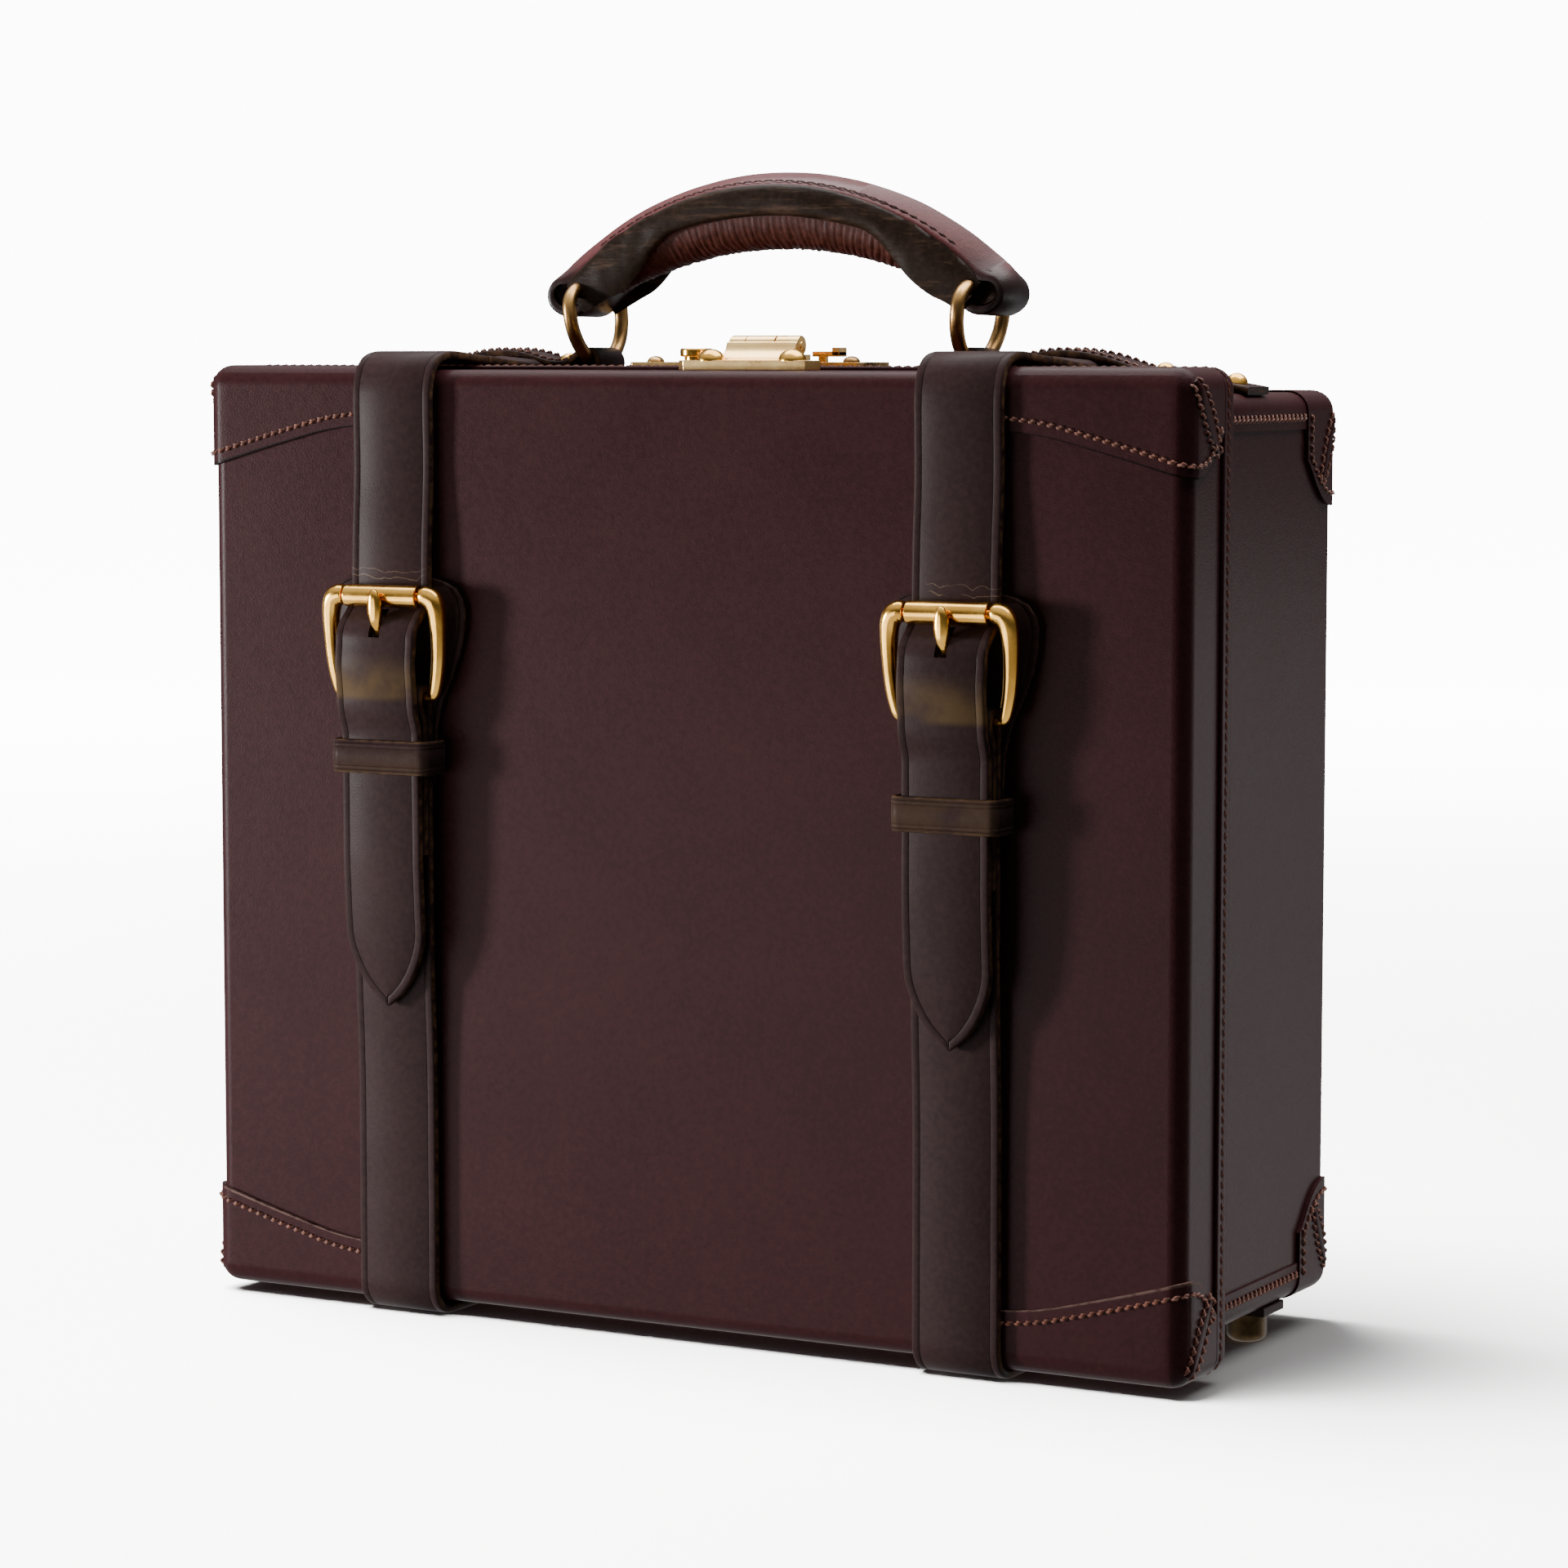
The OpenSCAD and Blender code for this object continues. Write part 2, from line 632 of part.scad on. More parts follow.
// Guard: a pear-shaped leaf of leather that keeps the buckle off the lid
module buckle_safe(side) {
    half = strap_w / 2;
    edge = curve([[half, bar_z - 30], [half + 1.2, bar_z - 10], [half + 7, bar_z + 6],
        [safe_half_w, bar_z + 23], [safe_half_w, bar_z + 33], [safe_half_w - 5, bar_z + 40],
        [0, bar_z + 42]], 5);
    other = [for (i = [len(edge) - 2:-1:0]) [-edge[i][0], edge[i][1]]];
    color(strap_brown) in_place() translate([side * strap_x, -(stack_y - layer_gap - safe_t / 2), 0])
        along_depth(safe_t) polygon(concat(edge, other));
}

module strap_keeper(side, z) {
    y_back = -layer_gap;
    y_front = layer_y(2) - strap_t / 2 - layer_gap - keeper_t;
    d = y_back - y_front;
    w = 2 * (keeper_half + keeper_t);
    color(strap_brown) in_place() translate([side * strap_x, (y_back + y_front) / 2, z - keeper_h / 2])
        linear_extrude(keeper_h) difference() {
            round_rect(w, d, keeper_round);
            round_rect(w - 2 * keeper_t, d - 2 * keeper_t, keeper_round - keeper_t);
        }
}

// HANDLE STRIPS, PACKING AND FEET

// Packing under a handle strip, in two blocks with the strap's way between them
module strip_packing(side) {
    inner = ring_x - 11;
    color(oxblood) in_place() translate([0, handle_y, 0]) mirror([side < 0 ? 1 : 0, 0, 0])
    along_depth(strip_w) {
        translate([inner, body_top]) square([hump_in - inner, packing_h]);
        polygon([[hump_out, body_top], [tail_end, body_top], [tail_end, packing_z - tail_drop],
            [tail_start, packing_z], [hump_out, packing_z]]);
    }
}

// Strip seen from the front: chape round the ring, hump over the strap and tail down to the body's side
module strip_profile() {
    wire_x = ring_x - wire_drift;
    tail = packing_z - tail_drop;
    flat = packing_z + 2 * strip_t;
    ridge = hump_z + strip_t;
    hump = curve([[hump_in + 3, hump_z + strip_t / 2], [strap_x, hump_z + strip_t / 2 + 0.1],
        [hump_out - 3, hump_z + strip_t / 2]], 4);
    slot([wire_x, wire_z], [ring_x + 1.2, wire_z], chape_r);
    polygon([[wire_x, packing_z], [hump_in, packing_z], [hump_in, hump_z], [hump_in + 3, hump_z],
        [hump_in + 3, ridge], [hump_in - 0.6, ridge - 1.2], [hump_in - hump_wall, flat],
        [chape_end, flat], [ring_x + 1.2, wire_z + chape_r - 0.2]]);
    polygon(strip_outline(hump, strip_t));
    polygon([[hump_out - 3, hump_z], [hump_out, hump_z], [hump_out, packing_z], [tail_start, packing_z],
        [tail_end, tail], [strip_end, tail - 0.8], [strip_end, tail + strip_t - 1.4],
        [tail_end, tail + strip_t], [tail_start, packing_z + strip_t], [hump_out + 9, packing_z + strip_t],
        [hump_out + 5.6, packing_z + strip_t + 2.5], [hump_out + 1, ridge - 0.9], [hump_out - 3, ridge]]);
}

// Places of the domes on a strip: distance from the middle and height of the strip there
dome_places = [[dome_in, packing_z + 2 * strip_t], [dome_mid, packing_z + strip_t]];
tail_dome_z = packing_z + strip_t - (dome_out - tail_start) * tan(tail_slope);

module handle_strip(side) {
    ring_room = wire_r + 0.4;
    color(strap_brown) in_place() translate([0, handle_y, 0]) mirror([side < 0 ? 1 : 0, 0, 0]) difference() {
        along_depth(strip_w) strip_profile();
        translate([ring_x, 0, ring_z]) rotate([0, 90, 0]) rotate_extrude($fn = 96)
            slot([ring_r, -wire_drift], [ring_r, 1.2], ring_room);
        for (place = dome_places) translate([place[0], 0, place[1] - 2 * strip_t])
            cylinder(h = 2 * strip_t + 1, r = dome_shank_r + shank_room);
    }
}

module strip_domes() {
    color(brass_gold) in_place() for (side = [-1, 1]) {
        for (place = dome_places) translate([side * place[0], handle_y, place[1]])
            dome(dome_r, dome_h, dome_shank_r, strip_t - 0.4);
        translate([side * dome_out, handle_y, tail_dome_z]) rotate([0, side * tail_slope, 0])
            dome(dome_r, dome_h, dome_shank_r, 0);
    }
}

// Strip under the body, with a hump that holds the strap
module bottom_strip(side) {
    low = body_bot - layer_gap - strap_t - layer_gap;
    mid = hump_in - 14;
    color(strap_brown) in_place() translate([0, foot_y, 0]) mirror([side < 0 ? 1 : 0, 0, 0]) difference() {
        along_depth(strip_w) {
            translate([mid, body_bot - strip_t]) square([hump_in - mid, strip_t]);
            translate([hump_in - 3, low - strip_t]) square([hump_out - hump_in + 6, strip_t]);
            translate([hump_in - 3, low - strip_t]) square([3, body_bot - low + strip_t]);
            translate([hump_out, low - strip_t]) square([3, body_bot - low + strip_t]);
            translate([hump_out, body_bot - strip_t]) square([strip_end - hump_out, strip_t]);
        }
        translate([foot_x, 0, body_bot - strip_t - 1])
            cylinder(h = strip_t + 2, r = dome_shank_r + shank_room);
    }
}

module feet() {
    top = body_bot - strip_t;
    color(brass_gold) in_place() for (side = [-1, 1]) translate([side * foot_x, foot_y, -floor_z]) {
        rotate_extrude() polygon(concat([[0, 0], [foot_r - 3, 0]], arc([foot_r - 3, 3], 3, -80, 0, 6),
            [[foot_r, top + floor_z], [0, top + floor_z]]));
        translate([0, 0, top + floor_z - join]) cylinder(h = strip_t + join, r = dome_shank_r);
    }
}

// HANDLE

// One cross-section point of the handle: across the handle, and out from its arc at the given angle
function handle_point(a, y, n) = [(handle_r + n) * sin(a), y, handle_mid_z + (handle_r + n) * cos(a)];
function handle_end(a) = pow(a / handle_angle, 2);
function half_h(a) = lerp(grip_half_h, loop_r - 1, handle_end(a));
function cover_root(a) = cover_t + 5 * max(0, (handle_end(a) - 0.7) / 0.3);
function half_w(a) = lerp(grip_half_w, loop_half_w, handle_end(a));
function cover_half(a) = lerp(10, 8.6, handle_end(a));
function cover_crown(a) = lerp(4.2, 0.6, handle_end(a));
function cover_out(a, k) = half_h(a) - cover_crown(a) * k * k;

// End loop seen from the front: a stadium along the handle's end, in short flats
module handle_loop_outline(side, r) {
    sides = 14;
    back = [handle_end_x - loop_back * cos(handle_angle), handle_end_z + loop_back * sin(handle_angle)];
    mirror([side < 0 ? 1 : 0, 0]) polygon(concat(
        arc([handle_end_x, handle_end_z], r, -90 - handle_angle, 90 - handle_angle, sides),
        arc(back, r, 90 - handle_angle, 270 - handle_angle, sides)));
}

module handle_cover() {
    steps = 16;
    spread = [-1, -0.75, -0.4, 0, 0.4, 0.75, 1];
    rings = [for (j = [0:steps]) let (a = lerp(-handle_angle, handle_angle, j / steps)) concat(
        [for (k = spread) handle_point(a, k * cover_half(a), cover_out(a, k))],
        [for (i = [len(spread) - 1:-1:0])
            handle_point(a, spread[i] * cover_half(a), cover_out(a, spread[i]) - cover_root(a))])];
    color(oxblood) in_place() translate([0, handle_y, 0]) difference() {
        union() {
            loft(rings);
            for (s = [-1, 1]) along_depth(2 * loop_half_w) handle_loop_outline(s, loop_r);
        }
        for (s = [-1, 1]) along_depth(4 * loop_half_w) handle_loop_outline(s, loop_void_r);
    }
}

module handle_grip() {
    steps = 14;
    reach = 0.82 * handle_angle;
    room = cover_t + 0.25;
    waist = -1.3;
    rings = [for (j = [0:steps]) let (a = lerp(-reach, reach, j / steps), c = cover_half(a) - 0.1) concat(
        [for (k = [-1, -0.5, 0, 0.5, 1]) handle_point(a, k * c, cover_out(a, k) - room)],
        [handle_point(a, c, waist)],
        [for (t = [0:22.5:180]) handle_point(a, half_w(a) * cos(t), waist + (half_h(a) + waist) * -sin(t))],
        [handle_point(a, -c, waist)])];
    color(oxblood) in_place() translate([0, handle_y, 0]) difference() {
        loft(rings);
        for (s = [-1, 1]) along_depth(4 * loop_half_w) handle_loop_outline(s, loop_r + 0.25);
    }
}

// Welt: the thick waxed edge between cover and grip, on the front or the back of the handle
module handle_welt(face) {
    steps = 14;
    reach = 0.9 * handle_angle;
    bottom = -1;
    proud = 0.8;
    rings = [for (j = [0:steps]) let (a = lerp(-reach, reach, j / steps), y0 = cover_half(a) + 0.2,
        y1 = half_w(a) + proud, top = half_h(a) - cover_crown(a)) [
            handle_point(a, y0, bottom), handle_point(a, y0, top),
            handle_point(a, lerp(y0, y1, 0.4), top - 0.1), handle_point(a, lerp(y0, y1, 0.85), top - 2),
            handle_point(a, y1, lerp(bottom, top, 0.45)),
            handle_point(a, lerp(y0, y1, 0.85), bottom)]];
    color(strap_brown) in_place() translate([0, handle_y, 0]) mirror([0, face < 0 ? 1 : 0, 0]) difference() {
        loft(rings);
        for (s = [-1, 1]) along_depth(4 * loop_half_w) handle_loop_outline(s, loop_r + 0.2);
    }
}

module handle_ring(side) {
    color(brass_gold) in_place() translate([side * ring_x, handle_y, ring_z])
        rotate([0, 90 + side * ring_lean, 0]) rotate_extrude($fn = 96) translate([ring_r, 0]) circle(wire_r);
}

// HASP AND LOCK

// Barrel of one knuckle between two places along the hinge line
module barrel_part(x0, x1, bore_r) {
    translate([hasp_x + x0, barrel_y, barrel_z]) rotate([0, 90, 0]) difference() {
        cylinder(h = x1 - x0, r = barrel_r);
        translate([0, 0, -1]) cylinder(h = x1 - x0 + 2, r = bore_r);
    }
}

module hasp_plate() {
    chamfer = 5;
    half = hasp_plate_w / 2;
    top = case_h + hasp_plate_t;
    lift = case_h + bind_t + layer_gap;
    outer = hasp_pin_r + press_gap;
    web = concat([[hasp_y0 + 8, top - 0.6]],
        arc([hasp_y1 - 1, barrel_z + 0.2], barrel_z + 0.2 - top, 270, 340, 8), [[barrel_y, barrel_z]],
        [[barrel_y, barrel_z - barrel_r], [barrel_y - 2, lift], [hasp_y0 + 8, lift]]);
    color(brass_pale) in_place() difference() {
        union() {
            translate([hasp_x, 0, case_h]) linear_extrude(hasp_plate_t)
                polygon([[-half, hasp_y1], [-half, hasp_y0 + chamfer], [-half + chamfer, hasp_y0],
                    [half - chamfer, hasp_y0], [half, hasp_y0 + chamfer], [half, hasp_y1]]);
            for (run = [[-barrel_len / 2, knuckle_1], [knuckle_2, barrel_len / 2]]) {
                translate([hasp_x + (run[0] + run[1]) / 2, 0, 0]) across(run[1] - run[0]) polygon(web);
                barrel_part(run[0], run[1], outer);
            }
        }
        translate([hasp_x, barrel_y, barrel_z]) rotate([0, 90, 0])
            cylinder(h = 2 * barrel_len, r = outer, center = true);
        for (s = [-1, 1]) translate([hasp_x + s * 0.6 * barrel_len, (hasp_y0 + hasp_y1) / 2, case_h - 1])
            cylinder(h = 2 * hasp_plate_t, r = dome_shank_r + shank_room);
    }
}

module hasp_domes() {
    color(brass_gold) in_place() for (s = [-1, 1])
        translate([hasp_x + s * 0.6 * barrel_len, (hasp_y0 + hasp_y1) / 2, case_h + hasp_plate_t])
            dome(hasp_dome_r, hasp_dome_h, dome_shank_r, hasp_plate_t);
}

// Hasp: centre knuckle, a leaf that lies back over the lock, and a lug that enters the lock
module hasp() {
    leaf_half = (knuckle_2 - knuckle_1) / 2 - knuckle_gap;
    leaf_x = hasp_x + (knuckle_1 + knuckle_2) / 2;
    leaf_z = lock_top + 0.6;
    hasp_leaf_t = 2;
    y_end = lug_y + lug_t + 4;
    color(brass_pale) in_place() difference() {
        union() {
            barrel_part(knuckle_1 + knuckle_gap, knuckle_2 - knuckle_gap, hasp_pin_r + run_gap);
            translate([leaf_x, 0, 0]) across(2 * leaf_half) polygon([[barrel_y, barrel_z + barrel_r * 0.6],
                [barrel_y + barrel_r * 0.8, barrel_z + barrel_r * 0.6], [barrel_y + 6.5, leaf_z + hasp_leaf_t],
                [y_end, leaf_z + hasp_leaf_t], [y_end, leaf_z], [barrel_y + 4.4, leaf_z],
                [barrel_y + 2.4, barrel_z - barrel_r * 0.5], [barrel_y, barrel_z - barrel_r * 0.5]]);
            translate([hasp_x - lug_half, lug_y - lug_t / 2, bolt_z - bolt_r - bolt_room - 2])
                cube([2 * lug_half, lug_t, leaf_z + join - (bolt_z - bolt_r - bolt_room - 2)]);
        }
        translate([hasp_x, barrel_y, barrel_z]) rotate([0, 90, 0])
            cylinder(h = 2 * barrel_len, r = hasp_pin_r + run_gap, center = true);
        translate([hasp_x, lug_y, bolt_z]) rotate([0, 90, 0])
            cylinder(h = 4 * lug_half, r = bolt_r + bolt_room, center = true);
    }
}

module hasp_pin() {
    color(brass_pale) in_place() translate([hasp_x, barrel_y, barrel_z]) rotate([0, 90, 0])
        cylinder(h = barrel_len + 0.6, r = hasp_pin_r, center = true);
}

// Way of the lug into the lock, open to the front and long enough for the hasp's swing
module lug_way() {
    y0 = lock_y0 - 1;
    y1 = lug_y + lug_t / 2 + 5.1;
    z0 = bolt_z - bolt_r - bolt_room - 2 - lug_room;
    translate([hasp_x - lug_half - lug_room, y0, z0])
        cube([2 * (lug_half + lug_room), y1 - y0, lock_top - z0 + 1]);
}

// Way of the bolt and of the post that carries its thumb piece
module bolt_way() {
    room = bolt_r + bolt_room;
    x0 = hasp_x - lug_half - 4;
    x1 = post_x + post_w;
    translate([x0, lug_y, bolt_z]) rotate([0, 90, 0]) cylinder(h = x1 - x0, r = room);
    translate([bolt_start, lug_y - room, bolt_z]) cube([x1 - bolt_start, 2 * room, lock_top - bolt_z + 1]);
}

module lock_packing() {
    edge = 1;
    color(oxblood) in_place() difference() {
        translate([lock_x - lock_plate_w / 2 + edge, lock_y0 + edge / 2, body_top])
            cube([lock_plate_w - 2 * edge, lock_y1 - lock_y0 - edge, lock_top - lock_plate_t - body_top]);
        lug_way();
        bolt_way();
    }
}

module lock_plate() {
    z = lock_top - lock_plate_t;
    color(brass_pale) in_place() difference() {
        translate([lock_x, (lock_y0 + lock_y1) / 2, z]) linear_extrude(lock_plate_t)
            round_rect(lock_plate_w, lock_y1 - lock_y0, 2);
        lug_way();
        bolt_way();
        for (s = [-1, 1]) translate([lock_x + s * lock_rivet_span / 2, cover_y, z - 1])
            cylinder(h = lock_plate_t + 2, r = rivet_shank_r + shank_room);
        translate([cover_x, cover_y, z - 1]) cylinder(h = lock_plate_t + 2, r = 1.6);
        translate([cover_x - 0.6, cover_y, z - 1]) cube([1.2, 4.4, lock_plate_t + 2]);
        translate([cover_x - cover_r + 2, cover_y, z - 1])
            cylinder(h = lock_plate_t + 2, r = cover_pin_r + press_gap);
    }
}

module lock_rivets() {
    color(brass_gold) in_place() for (s = [-1, 1])
        translate([lock_x + s * lock_rivet_span / 2, cover_y, lock_top])
            dome(3, 2.2, rivet_shank_r, lock_plate_t);
}

// Slide: bolt, post and thumb piece in one
module lock_slide() {
    room = 0.7;
    thumb_t = 2;
    thumb_z = lock_top + 1.6;
    color(brass_pale) in_place() translate([0, lug_y, 0]) {
        translate([bolt_start, 0, bolt_z]) rotate([0, 90, 0])
            cylinder(h = post_x + post_w / 2 - bolt_start, r = bolt_r);
        translate([post_x - post_w / 2, -bolt_r + room / 2, bolt_z])
            cube([post_w, 2 * bolt_r - room, thumb_z + thumb_t - bolt_z]);
        translate([post_x - post_w / 2, -3, thumb_z]) cube([slide_end - post_x + post_w / 2, 6, thumb_t]);
        translate([slide_end - 2.2, -3, thumb_z]) cube([2.2, 6, thumb_t + 1.4]);
    }
}

// Key cover: a round lid that swings aside from the keyhole on its own pin
module key_cover() {
    color(brass_pale) in_place() translate([cover_x, cover_y, lock_top + layer_gap + cover_lift])
    difference() {
        union() {
            cylinder(h = cover_disc_t, r = cover_r);
            translate([-cover_r + 2, 0, -cover_lift]) cylinder(h = cover_disc_t, r = 2.4);
        }
        translate([-cover_r + 2, 0, -2 * cover_lift])
            cylinder(h = cover_disc_t + 4 * cover_lift, r = cover_pin_r + run_gap);
    }
}

module key_cover_pin() {
    reach = lock_plate_t + layer_gap + cover_lift + cover_disc_t;
    color(brass_pale) in_place() translate([cover_x - cover_r + 2, cover_y, lock_top - lock_plate_t]) {
        cylinder(h = reach + 0.3, r = cover_pin_r);
        translate([0, 0, reach + 0.1]) cylinder(h = 0.7, r = cover_pin_r + 0.7);
    }
}

lid_shell();
lid_lining();
rim_binding();
lid_cap(-1, 1);  // lid_cap_top_left
lid_cap(1, 1);  // lid_cap_top_right
lid_cap(-1, -1);  // lid_cap_bottom_left
lid_cap(1, -1);  // lid_cap_bottom_right
body_shell();
body_lining();
body_cap(-1, 1);  // body_cap_top_left
body_cap(1, 1);  // body_cap_top_right
body_cap(-1, -1);  // body_cap_bottom_left
body_cap(1, -1);  // body_cap_bottom_right
lid_hinge_leaves();
body_hinge_leaves();
hinge_pins();
strap_billet(-1);  // strap_billet_left
strap_billet(1);  // strap_billet_right
strap_chape(-1);  // strap_chape_left
strap_chape(1);  // strap_chape_right
strap_rear(-1);  // strap_rear_left
strap_rear(1);  // strap_rear_right
buckle_frame(-1);  // buckle_frame_left
buckle_frame(1);  // buckle_frame_right
buckle_roller(-1);  // buckle_roller_left
buckle_roller(1);  // buckle_roller_right
buckle_prong(-1);  // buckle_prong_left
buckle_prong(1);  // buckle_prong_right
buckle_safe(-1);  // buckle_safe_left
buckle_safe(1);  // buckle_safe_right
strap_keeper(-1, keeper_left_z);  // strap_keeper_left
strap_keeper(1, keeper_right_z);  // strap_keeper_right
strip_packing(-1);  // strip_packing_left
strip_packing(1);  // strip_packing_right
handle_strip(-1);  // handle_strip_left
handle_strip(1);  // handle_strip_right
strip_domes();
bottom_strip(-1);  // bottom_strip_left
bottom_strip(1);  // bottom_strip_right
feet();
handle_cover();
handle_grip();
handle_welt(-1);  // handle_welt_front
handle_welt(1);  // handle_welt_back
handle_ring(-1);  // handle_ring_left
handle_ring(1);  // handle_ring_right
hasp_plate();
hasp_domes();
hasp();
hasp_pin();
lock_packing();
lock_plate();
lock_rivets();
lock_slide();
key_cover();
key_cover_pin();
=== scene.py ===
import math

import bpy
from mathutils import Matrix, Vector, noise


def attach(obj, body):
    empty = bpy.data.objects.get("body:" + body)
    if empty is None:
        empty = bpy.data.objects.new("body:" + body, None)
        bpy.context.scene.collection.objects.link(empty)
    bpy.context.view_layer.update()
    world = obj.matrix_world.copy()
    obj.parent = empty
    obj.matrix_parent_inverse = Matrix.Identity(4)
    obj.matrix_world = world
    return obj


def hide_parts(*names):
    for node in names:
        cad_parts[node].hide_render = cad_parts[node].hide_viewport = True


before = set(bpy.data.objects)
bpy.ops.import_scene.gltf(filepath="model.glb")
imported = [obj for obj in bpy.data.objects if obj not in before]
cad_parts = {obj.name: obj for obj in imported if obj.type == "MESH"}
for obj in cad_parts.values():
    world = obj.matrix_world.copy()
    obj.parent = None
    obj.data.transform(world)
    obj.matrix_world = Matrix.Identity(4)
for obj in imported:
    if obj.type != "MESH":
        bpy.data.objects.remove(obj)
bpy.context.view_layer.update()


# CAMERA
# The bag is seen from the front and to the right of its middle, from the height of the case's top and
# with a long lens, so that its upright edges stay nearly upright.
LENS_MM, SENSOR_MM, FAR_CLIP = 105.6, 36, 100
CAMERA_PLACE = (0.77778, -1.41447, 0.34068)
LOOK_DOWN = math.radians(5.41)
LOOK_ROUND = math.radians(28.56)

bpy.ops.object.select_all(action="DESELECT")
bpy.ops.object.camera_add(location=CAMERA_PLACE, rotation=(math.pi / 2 - LOOK_DOWN, 0, LOOK_ROUND))
camera = bpy.context.object
camera.data.lens = LENS_MM
camera.data.sensor_width = SENSOR_MM
camera.data.clip_end = FAR_CLIP
bpy.context.scene.camera = camera


# STUDIO
# A wide pale floor in front of a white ground. A small key light low on the left draws the straps' shadows
# to the right, a large softbox hangs overhead and weak bounces fill in. The floor has two lights of its own.
class Shade:
    """One socket of a material; sums written with it add the nodes that work them out."""

    def __init__(self, tree, socket=None):
        self.tree = tree
        self.socket = socket

    def node(self, kind, settings=None, values=None, out=0):
        """A new node with these settings and input values, as one of its outputs."""
        made = self.tree.nodes.new("ShaderNode" + kind)
        for key, value in (settings or {}).items():
            setattr(made, key, value)
        for key, value in (values or {}).items():
            if isinstance(value, Shade):
                self.tree.links.new(value.socket, made.inputs[key])
            else:
                made.inputs[key].default_value = value
        return Shade(self.tree, made.outputs[out] if len(made.outputs) else None)

    def place(self):
        """Where a point lies on its piece, in metres."""
        return self.node("TexCoord", out="Object")

    def along(self, axis):
        """One coordinate of a place."""
        return self.node("SeparateXYZ", None, {"Vector": self}, out=axis)

    def edge(self):
        """The mark that points carry at a piece's edges, above 0, and below 0 in its creases and on the upper caps'
        cut edges, where shade is painted.
        """
        return self.node("Attribute", {"attribute_name": "edge"}, out="Fac")

    def clouds(self, place, scale, detail=2.0, rough=0.5):
        """Cloudy grey, with about this many clouds to the metre."""
        values = {"Vector": place, "Scale": scale, "Detail": detail, "Roughness": rough}
        return self.node("TexNoise", None, values)

    def bump(self, strength, deep, height):
        return self.node("Bump", None, {"Strength": strength, "Distance": deep, "Height": height})

    def sum(self, operation, first, second):
        return self.node("Math", {"operation": operation}, {0: first, 1: second})

    def __add__(self, other):
        return self.sum("ADD", self, other)

    def __mul__(self, other):
        return self.sum("MULTIPLY", self, other)

    def __sub__(self, other):
        return self.sum("SUBTRACT", self, other)

    def __rsub__(self, other):
        return self.sum("SUBTRACT", other, self)

    __radd__ = __add__
    __rmul__ = __mul__

    def rise(self, low, high):
        """0 below low, 1 above high, and a smooth rise between them."""
        limits = {"Value": self, "From Min": low, "From Max": high}
        return self.node("MapRange", {"interpolation_type": "SMOOTHSTEP"}, limits)

    def tint(self, under, over):
        """The colour under, covered by the colour over as far as this value says."""
        return self.node("Mix", {"data_type": "RGBA"}, {0: self, 6: under, 7: over}, out=2)


def material(name):
    """A new material with no nodes, as a Shade to build on."""
    made = bpy.data.materials.new(name)
    made.use_nodes = True
    made.node_tree.nodes.clear()
    return made, Shade(made.node_tree)


def surface(paint, values):
    """Ends a material in one principled surface with these values."""
    shader = paint.node("BsdfPrincipled", None, values)
    paint.node("OutputMaterial", None, {"Surface": shader})


def softbox(name, place, size, power, toward, only_on):
    """A rectangular light that faces a point and lights one collection."""
    bpy.ops.object.light_add(type="AREA", location=place)
    lamp = bpy.context.object
    lamp.name = name
    lamp.data.shape = "RECTANGLE"
    lamp.data.size, lamp.data.size_y = size
    lamp.data.energy = power
    lamp.visible_camera = False
    lamp.rotation_euler = (Vector(toward) - Vector(place)).to_track_quat("-Z", "Y").to_euler()
    lamp.light_linking.receiver_collection = only_on


FLOOR_SIZE, WHITE_GLOW = 60, 12.0
floor_paint, paint = material("studio_floor")
pale = paint.clouds(paint.place(), 3.0).rise(0.3, 0.7).tint((0.93, 0.92, 0.91, 1), (0.95, 0.94, 0.93, 1))
away = paint.node("VectorMath", {"operation": "LENGTH"}, {0: paint.place()}, out="Value")
lit = away.rise(0.42, 3.0).tint((0.0, 0.0, 0.0, 1), (1, 1, 1, 1))
surface(paint, {"Base Color": pale, "Roughness": 0.9, "Emission Color": lit, "Emission Strength": WHITE_GLOW})
bpy.ops.mesh.primitive_plane_add(size=FLOOR_SIZE)
floor = bpy.context.object
floor.name = "floor"
floor.data.materials.append(floor_paint)
floor.visible_diffuse = floor.visible_glossy = False
ground, all_but_ground = (bpy.data.collections.new(name) for name in ("ground", "all_but_ground"))
bpy.context.scene.collection.children.link(ground)
for lit_group in (ground, all_but_ground):
    lit_group.objects.link(floor)
all_but_ground.collection_objects[0].light_linking.link_state = "EXCLUDE"

softbox("key", (-2.12, -1.27, 0.2), (0.32, 0.5), 97, (0, 0, 0.16), all_but_ground)
softbox("overhead", (0.1, 0.75, 2.3), (3.2, 2.4), 165, (0.1, 0.76, 0), all_but_ground)
softbox("fill", (1.5, 2.2, 0.3), (1.4, 0.6), 0.9, (0.19, 0.07, 0.12), all_but_ground)
softbox("bounce", (0.5, 0.42, 0.02), (0.45, 0.45), 1.2, (0.19, 0.09, 0.06), all_but_ground)
softbox("front_bounce", (-0.45, -0.62, 0.02), (0.9, 0.4), 4.6, (-0.05, 0, 0.05), all_but_ground)
softbox("floor_wash", (0.2, 0.3, 3.0), (3.4, 3.4), 46, (0.2, 0.31, 0), ground)
softbox("floor_side", (-0.8, -0.3, 2.3), (1.7, 1.7), 690, (0.2, 0, 0), ground)

